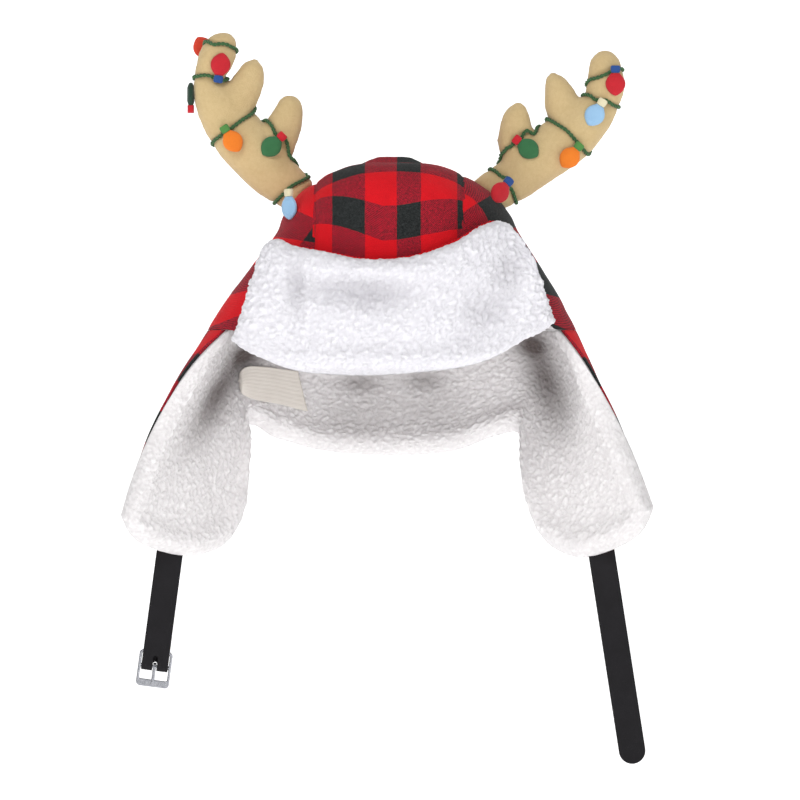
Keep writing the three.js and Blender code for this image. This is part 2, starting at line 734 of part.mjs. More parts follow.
const leftAntler = antler("antler_left", LEFT_BEAM, [LEFT_MIDDLE_TINE, LEFT_LOWER_TINE]);
const rightAntler = antler("antler_right", RIGHT_BEAM, [RIGHT_MIDDLE_TINE, RIGHT_LOWER_TINE]);
const leftCord = windCord("antler_cord_left", LEFT_ROUTE, leftAntler);
const rightCord = windCord("antler_cord_right", RIGHT_ROUTE, rightAntler);
hangBulbs("left", LEFT_BULBS, [leftAntler, leftCord, crownShell]);
hangBulbs("right", RIGHT_BULBS, [rightAntler, rightCord, crownShell]);

// Straps and buckle

const SIDE_VIEW = new THREE.Matrix4().makeBasis(
  new THREE.Vector3(0, 1, 0),
  new THREE.Vector3(0, 0, 1),
  new THREE.Vector3(1, 0, 0),
);
const FRONT_VIEW = new THREE.Matrix4().makeRotationX(Math.PI / 2);

// A profile drawn from the side, in Y and Z, as wide as asked along X and centred on it.
function sideways(shape, width) {
  const settings = { depth: width, bevelEnabled: false, curveSegments: ROUND / 2 };
  const geometry = new THREE.ExtrudeGeometry(shape, settings);
  return geometry.translate(0, 0, -width / 2).applyMatrix4(SIDE_VIEW);
}

// An outline drawn from the front, in X and Z, as thick as asked along Y and centred on it.
function facing(shape, thick) {
  const settings = { depth: thick, bevelEnabled: false, curveSegments: ROUND / 4 };
  const geometry = new THREE.ExtrudeGeometry(shape, settings);
  return geometry.translate(0, 0, -thick / 2).applyMatrix4(FRONT_VIEW);
}

function box(x, y, z) {
  const [width, depth, height] = [x, y, z].map(([low, high]) => high - low);
  const middle = [x, y, z].map(([low, high]) => (low + high) / 2);
  return solid(new THREE.BoxGeometry(width, depth, height).translate(...middle));
}

const hangingGroup = ({ x, y, z, splay }) => {
  const group = new THREE.Group();
  group.position.set(x, y, z);
  group.rotation.y = THREE.MathUtils.degToRad(-splay);
  hat.add(group);
  return group;
};

function foldedStrap({ length, tailLow, tailHigh }) {
  const outline = new THREE.Shape();
  outline.moveTo(-FOLD_OUTSIDE, length);
  outline.lineTo(-FOLD_OUTSIDE, 0);
  outline.absarc(0, 0, FOLD_OUTSIDE, Math.PI, 2 * Math.PI, false);
  outline.lineTo(FOLD_OUTSIDE, tailLow);
  outline.lineTo(-FOLD_INSIDE, tailHigh);
  outline.lineTo(-FOLD_INSIDE, length);
  const eye = new THREE.Path();
  eye.moveTo(-FOLD_INSIDE, tailHigh - 2 * STRAP.thick);
  eye.lineTo(-FOLD_INSIDE, 0);
  eye.absarc(0, 0, FOLD_INSIDE, Math.PI, 2 * Math.PI, false);
  eye.lineTo(FOLD_INSIDE, tailLow - STRAP.thick / 2);
  outline.holes.push(eye);
  const half = SLOT.width / 2;
  const slot = box([-half, half], [-2 * FOLD_OUTSIDE, 0], [-2 * FOLD_OUTSIDE, SLOT.high]).add(
    box([-half, half], [-FOLD_OUTSIDE, 2 * FOLD_OUTSIDE], [-2 * FOLD_OUTSIDE, SLOT.backHigh]),
  );
  return geometryOf(solid(sideways(outline, STRAP.width)).subtract(slot));
}

function roundedRectangle(path, left, right, low, high, corner) {
  path.moveTo(left + corner, low);
  path.lineTo(right - corner, low);
  path.absarc(right - corner, low + corner, corner, -Math.PI / 2, 0, false);
  path.lineTo(right, high - corner);
  path.absarc(right - corner, high - corner, corner, 0, Math.PI / 2, false);
  path.lineTo(left + corner, high);
  path.absarc(left + corner, high - corner, corner, Math.PI / 2, Math.PI, false);
  path.lineTo(left, low + corner);
  path.absarc(left + corner, low + corner, corner, Math.PI, 1.5 * Math.PI, false);
  return path;
}

function buckleFrame() {
  const { width, above, below, side, topBar, endBar, thick } = BUCKLE;
  const half = width / 2;
  const inner = half - side;
  const ring = roundedRectangle(new THREE.Shape(), -half, half, -below, above, BUCKLE_CORNER);
  const lowest = -below + endBar;
  const highest = above - topBar;
  const hole = new THREE.Path();
  ring.holes.push(roundedRectangle(hole, -inner, inner, lowest, highest, BUCKLE_CORNER - side));
  const bar = new THREE.CylinderGeometry(BAR_RADIUS, BAR_RADIUS, width - side, ROUND);
  return geometryOf(solid(facing(ring, thick)).add(solid(bar.rotateZ(Math.PI / 2))));
}

function prong() {
  const back = -BUCKLE.thick / 2 - GAP;
  const ring = new THREE.Shape().absarc(0, 0, PRONG.eye, 0, 2 * Math.PI, false);
  ring.holes.push(new THREE.Path().absarc(0, 0, FOLD_INSIDE, 0, 2 * Math.PI, false));
  const half = PRONG.width / 2;
  const arm = box([-half, half], [back - PRONG.thick, back], [-PRONG.length, 0]);
  return geometryOf(solid(sideways(ring, PRONG.width)).add(arm));
}

function plainStrap({ length }) {
  const half = STRAP.width / 2;
  const outline = new THREE.Shape();
  outline.moveTo(half, 0);
  outline.lineTo(-half, 0);
  outline.lineTo(-half, half - length);
  outline.absarc(0, half - length, half, Math.PI, 2 * Math.PI, false);
  return facing(outline, STRAP.thick);
}

const up = new THREE.Vector3(0, 0, 1);
const leftSide = hangingGroup(LEFT_STRAP);
add("strap_left", foldedStrap(LEFT_STRAP), STRAP_BLACK, 0.55, 0, leftSide);
add("buckle_frame", buckleFrame(), SILVER, 0.25, 1, leftSide);
add("buckle_prong", prong(), SILVER, 0.25, 1, leftSide);
const rightSide = hangingGroup(RIGHT_STRAP);
add("strap_right", plainStrap(RIGHT_STRAP), STRAP_BLACK, 0.55, 0, rightSide);
for (const group of [leftSide, rightSide]) {
  group.position.addScaledVector(up, -START);
  group.position.addScaledVector(up, roomAhead(group, up, [curtainShell, curtainLining]));
}

export default hat;
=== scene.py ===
import math

import bmesh
import bpy
import numpy as np
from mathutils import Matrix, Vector, noise
from mathutils.bvhtree import BVHTree


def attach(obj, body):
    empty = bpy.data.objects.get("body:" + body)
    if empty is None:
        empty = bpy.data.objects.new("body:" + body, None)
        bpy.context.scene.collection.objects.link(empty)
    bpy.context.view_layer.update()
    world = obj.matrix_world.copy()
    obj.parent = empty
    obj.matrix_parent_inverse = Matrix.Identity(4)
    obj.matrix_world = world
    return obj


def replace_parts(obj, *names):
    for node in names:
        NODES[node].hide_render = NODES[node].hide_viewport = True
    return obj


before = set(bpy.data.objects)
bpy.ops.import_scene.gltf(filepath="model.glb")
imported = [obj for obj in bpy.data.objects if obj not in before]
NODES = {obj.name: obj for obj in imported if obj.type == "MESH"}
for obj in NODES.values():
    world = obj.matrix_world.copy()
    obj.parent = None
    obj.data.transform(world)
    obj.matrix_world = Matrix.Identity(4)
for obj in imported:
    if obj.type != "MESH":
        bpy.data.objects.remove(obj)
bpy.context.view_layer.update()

# Plaid trapper hat with a curly pile lining, and two stuffed felt antlers wound with a cord of felt
# bulbs. Tables and sizes are in millimetres, and meshes are turned to metres when they are made.
MM = 0.001
GAP = 0.3
CLOTH = 2
PILE = 9
noise.seed_set(1)  # the curls' warp comes from this seed, and would change from run to run without it


# Camera, floor and light

LENS = 400
SENSOR = 36
FRAME_WIDTH = 0.6
VIEW_CENTRE = (0.006, 0.0, -0.1665)
FLOOR = -0.443
DISTANCE = FRAME_WIDTH * LENS / SENSOR
FARTHEST_SEEN = 60


def linked(name, data):
    """A new object in the scene."""
    made = bpy.data.objects.new(name, data)
    bpy.context.scene.collection.objects.link(made)
    return made


camera = linked("camera", bpy.data.cameras.new("camera"))
camera.data.lens = LENS
camera.data.sensor_width = SENSOR
camera.data.clip_end = FARTHEST_SEEN
camera.location = (VIEW_CENTRE[0], -DISTANCE, VIEW_CENTRE[2])
camera.rotation_euler = (math.radians(90), 0, 0)
bpy.context.scene.camera = camera
bpy.context.scene.view_settings.view_transform = "Standard"


def panel_light(name, place, aim, size, power):
    light = bpy.data.lights.new(name, "AREA")
    light.shape = "DISK"
    light.size = size
    light.energy = power
    lamp = linked(name, light)
    lamp.location = place
    lamp.rotation_euler = (Vector(aim) - Vector(place)).to_track_quat("-Z", "Y").to_euler()


panel_light("key_light", (-0.8, -2.0, 1.3), (0, 0, -0.15), 0.8, 20)
panel_light("front_light", (0.7, -2.4, -0.1), (0, 0, -0.2), 1.4, 13)
panel_light("top_light", (0.2, 0.3, 1.9), (0, 0, -0.1), 1.0, 6)
world = bpy.data.worlds.new("studio")
world.use_nodes = True
world.node_tree.nodes["Background"].inputs["Color"].default_value = (1, 1, 1, 1)
world.node_tree.nodes["Background"].inputs["Strength"].default_value = 0.3
bpy.context.scene.world = world


# Finishes

class Value:
    """A number or colour from a shader socket. Arithmetic on it adds Math nodes."""

    def __init__(self, finish, socket):
        self.finish = finish
        self.socket = socket

    def maths(self, operation, *values):
        return self.finish.node("ShaderNodeMath", {"operation": operation}, dict(enumerate(values)))

    def __add__(self, other):
        return self.maths("ADD", self, other)

    def __sub__(self, other):
        return self.maths("SUBTRACT", self, other)

    def __rsub__(self, other):
        return self.maths("SUBTRACT", other, self)

    def __mul__(self, other):
        return self.maths("MULTIPLY", self, other)

    def __truediv__(self, other):
        return self.maths("DIVIDE", self, other)

    def __abs__(self):
        return self.maths("ABSOLUTE", self)

    __radd__ = __add__
    __rmul__ = __mul__

    def part(self):
        return self.maths("FRACT", self)

    def rise(self, low, high):
        """0 below low, 1 above high, and smooth between."""
        settings = {"interpolation_type": "SMOOTHSTEP"}
        return self.finish.node("ShaderNodeMapRange", settings, {0: self, 1: low, 2: high, 3: 0, 4: 1})


class Finish:
    """A material, by name, with what is the same all over it set on its shader."""

    def __init__(self, name, **fixed):
        self.material = bpy.data.materials.new(name)
        self.material.use_nodes = True
        self.tree = self.material.node_tree
        self.shader = self.tree.nodes["Principled BSDF"]
        for socket, value in fixed.items():
            label = socket.replace("_", " ").title().replace("Ior", "IOR")
            self.shader.inputs[label].default_value = value
        self.place = self.node("ShaderNodeTexCoord", output="Object")

    def node(self, kind, settings=None, values=None, output=0):
        made = self.tree.nodes.new(kind)
        for key, value in (settings or {}).items():
            setattr(made, key, value)
        for key, value in (values or {}).items():
            self.feed(made.inputs[key], value)
        return Value(self, made.outputs[output])

    def feed(self, socket, value):
        if isinstance(value, Value):
            self.tree.links.new(value.socket, socket)
        else:
            socket.default_value = value

    def mix(self, share, low, high):
        return self.node("ShaderNodeMix", {"data_type": "RGBA"}, {0: share, 6: low, 7: high}, output=2)

    def cloudy(self, size, detail=3, distortion=0):
        """Soft noise from 0 to 1, with blotches of a size in millimetres."""
        values = {"Vector": self.place, "Scale": 1 / (size * MM), "Detail": detail}
        return self.node("ShaderNodeTexNoise", None, {**values, "Distortion": distortion})

    def cells(self, size, feature="F1"):
        values = {"Vector": self.place, "Scale": 1 / (size * MM)}
        return self.node("ShaderNodeTexVoronoi", {"feature": feature}, values)

    def layer(self, name, output="Fac"):
        """What a mesh carries under that name."""
        return self.node("ShaderNodeAttribute", {"attribute_name": name}, output=output)

    def parts_of(self, vector):
        split = self.node("ShaderNodeSeparateXYZ", None, {0: vector})
        outputs = split.socket.node.outputs
        return [Value(self, outputs[i]) for i in range(3)]

    def paint(self, colour, roughness=None, height=None, depth=0.3):
        """Colour, roughness, and a relief whose height is from 0 to 1, depth millimetres deep."""
        self.feed(self.shader.inputs["Base Color"], colour)
        if roughness is not None:
            self.feed(self.shader.inputs["Roughness"], roughness)
        if height is not None:
            values = {"Strength": 1.0, "Distance": depth * MM, "Height": height}
            self.feed(self.shader.inputs["Normal"], self.node("ShaderNodeBump", None, values))
        return self.material


def rgb(red, green, blue):
    """A colour given in the usual 0 to 255 steps of a screen."""
    linear = [c / 12.92 if c <= 0.04045 else ((c + 0.055) / 1.055) ** 2.4
              for c in (red / 255, green / 255, blue / 255)]
    return (*linear, 1)


CHECK = 24
CHECK_HIGH = 26
CHECK_EDGE = (0.244, 0.256)


def plaid_finish():
    """Brushed twill in a buffalo check, from the cloth's own measures across and along."""
    finish = Finish("plaid_twill", roughness=0.95, sheen_weight=0.03, sheen_roughness=0.6,
                    specular_ior_level=0.2)
    across, along, _ = finish.parts_of(finish.layer("cloth", "Vector"))
    ragged = finish.cloudy(2.2, 2) * 0.9
    warp, weft = (1 - abs(turns.part() - 0.5).rise(*CHECK_EDGE) for turns in (
        abs((across + ragged) / (2 * CHECK) + 0.25), (along + ragged) / (2 * CHECK_HIGH) + 0.25))
    fuzz = finish.cloudy(1.1, 4, distortion=1.2)
    twill = abs(((across + along + fuzz * 1.6) / 1.7).part() - 0.5) * 2
    blotch = finish.cloudy(14, 3)
    red = finish.mix(blotch * 0.5 + fuzz * 0.5, rgb(238, 20, 32), rgb(192, 12, 26))
    mixed = finish.mix((twill * 0.3 + fuzz * 0.95).rise(0.42, 0.85), rgb(88, 26, 34), rgb(192, 28, 48))
    black = finish.mix(fuzz.rise(0.25, 0.8), rgb(20, 24, 24), rgb(54, 57, 57))
    either = warp + weft - 2 * warp * weft
    colour = finish.mix(warp * weft, finish.mix(either, red, mixed), black)
    return finish.paint(colour, None, twill * 0.5 + fuzz, 0.35)


def pile_finish(name, light, dark, pressed_shade):
    """Curly pile, with painted shade that darkens it down between its curls, and a greyer painted shade
    where it is pushed down into hollows and where it lies under the brim.
    """
    finish = Finish(name, roughness=0.95, sheen_weight=0.2, sheen_roughness=0.5)
    curl = finish.layer("curl")
    strands = finish.cloudy(1.0, 3, distortion=0.6)
    knots = 1 - finish.cells(2.7, "SMOOTH_F1")
    # Painted shade: the colour grows darker down between the curls and knots, where shade falls. The
    # strands are a random tone.
    share = (curl * 0.55 + strands * 0.25 + knots * 0.3).rise(0.05, 1.0)
    # Painted shade: the layer of hollows and shaded places mixes in the greyer third colour.
    colour = finish.mix(finish.layer("flat"), finish.mix(share, dark, light), pressed_shade)
    return finish.paint(colour, None, strands * 0.35 + knots, 0.9)


def felt_finish(name, colour, deep):
    """Pressed felt, with soft blotches and a nap of short fibres."""
    finish = Finish(name, roughness=0.92, sheen_weight=0.15, sheen_roughness=0.5)
    nap = finish.cloudy(0.42, 5, distortion=0.8)
    blotch = finish.cloudy(5.4, 4)
    flecks = finish.cloudy(1.32, 2)
    share = blotch * 0.45 + nap * 0.35 + flecks * 0.2
    return finish.paint(finish.mix(share, colour, deep), None, nap + blotch * 0.3, 0.2)


def antler_finish():
    """Tan felt, with painted shade along its sewn seam and in the grooves where the cord draws it in."""
    finish = Finish("antler_tan_felt", roughness=0.92, sheen_weight=0.2, sheen_roughness=0.5)
    nap = finish.cloudy(0.8, 5, distortion=0.8)
    flecks = finish.cloudy(3.0, 3, distortion=0.5)
    stain = finish.cloudy(22, 3)
    felt = finish.mix(nap * 0.35 + flecks * 0.35 + stain * 0.3, rgb(224, 202, 154), rgb(182, 152, 102))
    # Painted shade: the felt darkens in the cord's grooves and along the seam.
    drawn_in = finish.layer("hollow_shade") * 0.55
    return finish.paint(finish.mix(drawn_in, felt, rgb(122, 92, 50)), None, nap + flecks * 0.5, 0.35)


PLAID = plaid_finish()
# Each pile's second colour is partly painted shade between its curls. Its third colour is the painted shade
# of its hollows and of the inside under the brim.
PILE_BRIM = pile_finish("brim_pile_white", rgb(244, 243, 247), rgb(214, 212, 218), rgb(150, 147, 153))
PILE_LINING = pile_finish("lining_pile_white", rgb(242, 240, 240), rgb(216, 212, 213), rgb(92, 83, 81))
ANTLER_FELT = antler_finish()


# Meshes

def read(items, name, wide=1, kind=float):
    """A value of each item of a mesh, or a row of values."""
    values = np.zeros(len(items) * wide, kind)
    items.foreach_get(name, values)
    return values.reshape(-1, wide) if wide > 1 else values


def spots_of(piece):
    """A mesh's points, in millimetres."""
    return read(piece.data.vertices, "co", 3) / MM


def set_spots(piece, spots):
    piece.data.vertices.foreach_set("co", (spots * MM).ravel())
    piece.data.update()


def normals_at(piece):
    return read(piece.data.vertices, "normal", 3)


def dress(piece, material, body="hat"):
    piece.data.materials.clear()
    piece.data.materials.append(material)
    piece.data.polygons.foreach_set("use_smooth", [True] * len(piece.data.polygons))
    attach(piece, body)
    return piece


def make(name, vertices, faces, material, layers=None):
    """A piece of the hat from points in millimetres. Points that no face uses are left out."""
    used, order = np.unique(np.concatenate([np.asarray(f) for f in faces]), return_inverse=True)
    ends = np.cumsum([len(f) for f in faces])[:-1]
    corners = [part.tolist() for part in np.split(order, ends)]
    mesh = bpy.data.meshes.new(name)
    mesh.from_pydata((np.asarray(vertices)[used] * MM).tolist(), [], corners)
    for layer, values in (layers or {}).items():
        attribute = mesh.attributes.new(layer, "FLOAT", "POINT")
        attribute.data.foreach_set("value", np.asarray(values, np.float32)[used])
    return dress(linked(name, mesh), material)


def skin(front, back, every, wraps=False, flip=False):
    """The points and faces of a closed skin: a fine front grid, and a back grid that keeps one place
    in every so many. The front's faces look along its column direction crossed with its rows."""
    columns, rows = front.shape[:2]
    keep = [np.unique(np.linspace(0, n - 1, max(n // every, 4)).round().astype(int))
            for n in (columns, rows)]
    fine = np.arange(columns * rows).reshape(columns, rows)
    coarse = columns * rows + np.arange(len(keep[0]) * len(keep[1])).reshape(len(keep[0]), -1)
    points = np.concatenate([front.reshape(-1, 3), back[np.ix_(*keep)].reshape(-1, 3)])
    across = keep[0]
    if wraps:
        fine = np.vstack([fine, fine[:1]])
        coarse = np.vstack([coarse, coarse[:1]])
        fine[:, 0], coarse[:, 0] = fine[0, 0], coarse[0, 0]
        across = np.append(across, columns)
    faces = []
    a, b, c, d = fine[:-1, :-1], fine[1:, :-1], fine[1:, 1:], fine[:-1, 1:]
    faces += np.stack([a, b, c, d], -1).reshape(-1, 4).tolist()
    a, b, c, d = coarse[:-1, :-1], coarse[:-1, 1:], coarse[1:, 1:], coarse[1:, :-1]
    faces += np.stack([a, b, c, d], -1).reshape(-1, 4).tolist()
    for i, (low, high) in enumerate(zip(across[:-1], across[1:])):
        faces.append([*fine[low:high + 1, -1], coarse[i + 1, -1], coarse[i, -1]])
        if not wraps:
            faces.append([*fine[low:high + 1, 0][::-1], coarse[i, 0], coarse[i + 1, 0]])
    if not wraps:
        for j, (low, high) in enumerate(zip(keep[1][:-1], keep[1][1:])):
            faces.append([*fine[0, low:high + 1], coarse[0, j + 1], coarse[0, j]])
            faces.append([*fine[-1, low:high + 1][::-1], coarse[-1, j], coarse[-1, j + 1]])
    faces = [list(dict.fromkeys(face)) for face in faces]
    if flip:
        faces = [face[::-1] for face in faces]
    return points, faces


def unit(vectors):
    return vectors / np.maximum(np.linalg.norm(vectors, axis=-1, keepdims=True), 1e-9)


def normals_of(grid, wraps=False):
    """Unit normals of a grid of points: its column direction crossed with its rows."""
    if wraps:
        ahead = np.roll(grid, -1, 0) - np.roll(grid, 1, 0)
    else:
        ahead = np.gradient(grid, axis=0)
    normals = unit(np.cross(ahead, np.gradient(grid, axis=1)))
    if wraps:
        normals[:, 0] = (0, 0, 1)
    return normals


def lengths(grid, axis):
    """How far each place is from the grid's first one, along an axis."""
    steps = np.linalg.norm(np.diff(grid, axis=axis), axis=-1)
    start = np.zeros_like(np.take(steps, [0], axis))
    return np.concatenate([start, np.cumsum(steps, axis)], axis)


def ease(value, low, high):
    share = np.clip((value - low) / (high - low), 0, 1)
    return share * share * (3 - 2 * share)


def swell(points, size, seed):
    """Soft noise from about -1 to 1 at points in millimetres."""
    return np.array([noise.noise(Vector(p) / size + Vector((seed, 0, 0))) for p in points.reshape(-1, 3)]
                    ).reshape(points.shape[:-1])


def curls(points, size, seed):
    """Rounded curls from 0, between them, to 1, on top, at points in millimetres."""
    heights = []
    for p in points.reshape(-1, 3):
        place = Vector(p) / size + Vector((seed, 0, 0))
        place += 0.45 * noise.noise_vector(place * 0.8)
        near, after = noise.voronoi(place)[0][:2]
        heights.append(min((after - near) * 1.7, 1) * (1 - 0.5 * near * near))
    return np.clip(np.array(heights), 0, 1).reshape(points.shape[:-1])


# The surfaces that the hat is cut from

def table(names, *rows):
    return dict(zip(names.split(), np.array(rows, float).T))


def row_at(rows, step):
    """The rows of a table at fractional steps, on a smooth curve through them."""
    step = np.asarray(step, float)
    last = len(next(iter(rows.values()))) - 1
    low = np.clip(np.floor(step).astype(int), 0, last - 1)
    t = step - low
    found = {}
    for name, column in rows.items():
        a, b, c, d = (column[np.clip(low + k, 0, last)] for k in (-1, 0, 1, 2))
        slope = t * (1 - t) * ((1 - t) * (c - a) / 2 - t * (d - b) / 2)
        found[name] = b + (c - b) * t * t * (3 - 2 * t) + slope
    return found


CROWN = table(
    "height middle half front back",
    (CLOTH + GAP + PILE, 2, 0, 0, 0),
    (10, 2, 28, 44, 42),
    (5, 2.5, 46, 62, 60),
    (-3, 2.5, 60, 71, 70),
    (-14, 3, 74, 77, 77),
    (-28, 4, 85, 80, 81),
    (-42, 4.5, 91, 82, 83),
    (-60, 3.5, 104, 83, 84),
    (-80, 2, 118, 83, 84),
    (-98, 0.5, 129, 81, 82),
    (-114, 0, 138, 79, 80),
    (-138, 0, 146, 78, 79),
)
SQUARENESS = 2.5
SEAM_DIP = 1.2
SEAM_LINE = 0.9
RIM_SIDE_STEP = 10
RIM_FRONT_STEP = 11
FOLD = {"high": 6.5, "x": 1, "wide": 21, "y": 32, "deep": 11}
BOW_AT = 0.3
HEM = table(
    "turn x y z bow",
    (300, -203, -30, -252, 16.5),
    (293, -194, -24, -270, 18.5),
    (285, -174, -10, -280, 19),
    (276, -150, 8, -284, 18),
    (266, -128, 26, -276, 15),
    (256, -114, 38, -255, 12),
    (246, -111, 46, -228, 9),
    (236, -114, 54, -196, 6),
    (224, -90, 64, -196, 4),
    (208, -55, 74, -205, 3),
    (182, -6, 79, -209, 3),
    (156, 45, 74, -206, 3),
    (139, 78, 65, -195, 4),
    (128, 96, 56, -194, 6),
    (118, 98, 48, -222, 8),
    (108, 103, 40, -246, 10),
    (98, 117, 26, -273, 12),
    (88, 140, 8, -285, 13),
    (78, 166, -10, -279, 12.5),
    (69, 187, -24, -266, 11),
    (62, 196, -30, -246, 10),
)
BRIM = table(
    "foot_x foot_z edge_x edge_z",
    (-113, -121, -91, -58),
    (-101, -131, -81, -50),
    (-74, -143, -70, -54),
    (-47, -147, -43, -59),
    (-15, -148, -18, -63),
    (17, -146, 14, -61),
    (50, -142, 44, -51),
    (75, -134, 63, -40),
    (95, -121, 77, -36),
    (106, -114, 88, -47),
    (113, -106, 99, -66),
)
HEM_ROWS = 20
NAPE_TURN = 0.75
FLAP_STEP = 3
BRIM_ROWS = 10
BRIM_MIDDLE_STEP = 4
BRIM_PILE = 13
BRIM_LEAN = 7
BRIM_FLARE = 11
BRIM_SEAT = 1.1


def rounded(value):
    return np.sign(value) * np.abs(value) ** (2 / SQUARENESS)


def crown_at(turn, step):
    """A place on the crown, by degrees round from its front and steps down its sections. A fold of
    its cloth stands up behind its top."""
    section = row_at(CROWN, step)
    angle = np.radians(turn)
    ahead = rounded(np.cos(angle))
    x = section["middle"] + section["half"] * rounded(np.sin(angle))
    y = -np.where(ahead > 0, section["front"], section["back"]) * ahead
    across, behind = (x - FOLD["x"]) / FOLD["wide"], (y - FOLD["y"]) / FOLD["deep"]
    fold = FOLD["high"] * np.exp(-across ** 4 - behind ** 2)
    return np.stack(np.broadcast_arrays(x, y, section["height"] + fold), -1)


def rim_step(turn):
    """The rim's step down the crown: lower at the front, under the brim, than at the sides."""
    from_front = np.abs((turn + 180) % 360 - 180)
    drop = 1 - ease(from_front, 20, 60)
    return RIM_SIDE_STEP + (RIM_FRONT_STEP - RIM_SIDE_STEP) * drop


def rim_normal(turn):
    along = crown_at(turn - 1, RIM_SIDE_STEP) - crown_at(turn + 1, RIM_SIDE_STEP)
    return unit(np.stack([-along[..., 1], along[..., 0], 0 * along[..., 0]], -1))


def curtain_at(row, v):
    """A place on the curtain, bowed outwards on its way from the crown's rim, 0, to its hem, 1."""
    rim = crown_at(row["turn"], RIM_SIDE_STEP) - (0, 0, GAP)
    hem = np.stack([row["x"], row["y"], row["z"]], -1)
    middle = rim + BOW_AT * (hem - rim)
    middle = middle + unit(middle * (1, 1, 0)) * 2 * row["bow"][..., None]
    v = np.asarray(v)[..., None]
    return (1 - v) ** 2 * rim + 2 * v * (1 - v) * middle + v * v * hem


def brim_at(rib, v):
    """A place on the turned-up brim, which lies along the crown's front, from its fold to its edge."""
    x = rib["foot_x"] + (rib["edge_x"] - rib["foot_x"]) * v
    z = rib["foot_z"] + (rib["edge_z"] - rib["foot_z"]) * v
    steps = np.linspace(0, RIM_FRONT_STEP, 600)
    step = np.interp(-z, -row_at(CROWN, steps)["height"], steps)
    section = row_at(CROWN, step)
    wide = section["half"] + BRIM_FLARE * np.sqrt(v) + GAP
    share = np.minimum(np.abs(x - section["middle"]) / wide, 1)
    y = -section["front"] * (1 - share ** SQUARENESS) ** (1 / SQUARENESS) - BRIM_LEAN * v
    return np.stack([x, y, z], -1)


END_PLACES = np.array([0, 0.4, 1.0, 1.8, 2.8])


def even_shares(point, spacing, ends=0):
    """Shares of a line of points at even spacing, closer at the ends where pile curls over."""
    shares = np.linspace(0, 1, 400)
    far = lengths(point(shares), 0)
    total = far[-1]
    roll = END_PLACES[:ends or 1]
    middle = np.arange(roll[-1] + spacing, total - roll[-1] - spacing / 2, spacing)
    wanted = np.concatenate([roll, middle, total - roll[::-1]])
    return np.interp(wanted, far, shares)


# Plaid shells

def crown_step(turn, v, raised):
    """The step down the crown's sections at a share of the way to its rim. The rim can be raised by
    some steps behind the brim's right end."""
    behind_brim = ease(turn, 12, 26) * ease(turn, 59, 50)
    return v * (rim_step(turn) - raised * behind_brim)


def crown_grid(columns, rows, raised):
    """The crown's surface. A column of places lies on each seam, an eighth of the way round."""
    v = np.linspace(0, 1, rows)[None, :]
    even = 360 * (1 - np.arange(columns) / columns)[:, None] + 0 * v
    signed = (even + 180) % 360 - 180
    from_middle = np.abs(signed)
    behind = from_middle > 90
    off = np.where(behind, 180 - from_middle, from_middle)
    seam = 45 + 0 * off
    for _ in range(3):
        turn = np.sign(signed) * np.where(behind, 180 - seam, seam)
        section = row_at(CROWN, crown_step(turn % 360, v, raised))
        reach = SEAM_OUT + np.sign(signed) * (SEAM_MIDDLE - section["middle"])
        share = np.clip(reach / np.maximum(section["half"], 1), 0, 1)
        seam = np.clip(np.degrees(np.arcsin(share ** (SQUARENESS / 2))), 30, 78)
    off = np.where(off < 45, off * seam / 45, seam + (off - 45) * (90 - seam) / 45)
    turn = np.sign(signed) * np.where(behind, 180 - off, off) % 360
    turn = np.where(from_middle == 180, 180, turn)
    grid = crown_at(turn, crown_step(turn, v, raised))
    normals = normals_of(grid, wraps=True)
    near_rim = ease(v, 0.88, 1.0)[..., None]
    normals = unit(normals * (1 - near_rim) + rim_normal(turn) * near_rim)
    return v + 0 * turn, grid, normals


def cloth_layer(piece, pick, maps):
    """Gives each corner of each face its place on the cloth, from the map of the face's panel."""
    mesh = piece.data
    spots = spots_of(piece)
    corners = read(mesh.loops, "vertex_index", kind=int)
    sizes = read(mesh.polygons, "loop_total", kind=int)
    owner = np.repeat(np.arange(len(sizes)), sizes)
    middles = np.zeros((len(sizes), 3))
    np.add.at(middles, owner, spots[corners])
    panel = pick(middles / sizes[:, None])[owner]
    places = np.zeros((len(corners), 3))
    for number, place in enumerate(maps):
        chosen = panel == number
        places[chosen, :2] = np.stack(place(spots[corners[chosen]]), -1)
    attribute = mesh.attributes.new("cloth", "FLOAT_VECTOR", "CORNER")
    attribute.data.foreach_set("vector", places.ravel())


# Lengths down the crown's centre lines from its top, by the angle from a pivot inside the crown.
PIVOT = -60
CROWN_MIDDLE = 2
CENTRE_LINES = {}
for line_name, line_turn in (("front", 0.0), ("back", 180.0), ("side", 90.0)):
    line = crown_at(np.full(400, line_turn), np.linspace(0, RIM_FRONT_STEP, 400))
    line_reach = np.abs(line[:, 0] - CROWN_MIDDLE if line_name == "side" else line[:, 1])
    CENTRE_LINES[line_name] = (np.arctan2(line_reach, line[:, 2] - PIVOT), lengths(line, 0))


def down_from_top(line, reach, height):
    return np.interp(np.arctan2(np.abs(reach), height - PIVOT), *CENTRE_LINES[line])


# Where the front's checks lie: their columns by how far right they are, and how far down from the top
# a row starts at each place across. The rows above it are spread evenly.
COLUMN_EDGES = table("x across", (-70, -28), (-44, 0), (-19.5, 24), (4.1, 48), (21.75, 72), (49, 96),
                     (75, 122))
ROW_START = table("x down", (-70, 76), (-54, 79), (-33, 87), (-19, 92.5), (-7, 97), (4, 96.5), (13, 95),
                  (36, 90), (58, 84), (70, 78))
TOP_ROW = 67
TOP_STRETCH = 41 / CHECK_HIGH
SEAM_MIDDLE = -2.2
SEAM_OUT = 55.8
LEFT_COLUMNS = table("y across", (-76, -2), (-63.5, 24), (20, 48), (86, 114))
RIGHT_COLUMNS = table("y across", (-76, 32), (-60, 48), (20, 72), (86, 138))
LEFT_ROW, RIGHT_ROW = 92, 80
RIGHT_SHRINK = 0.84


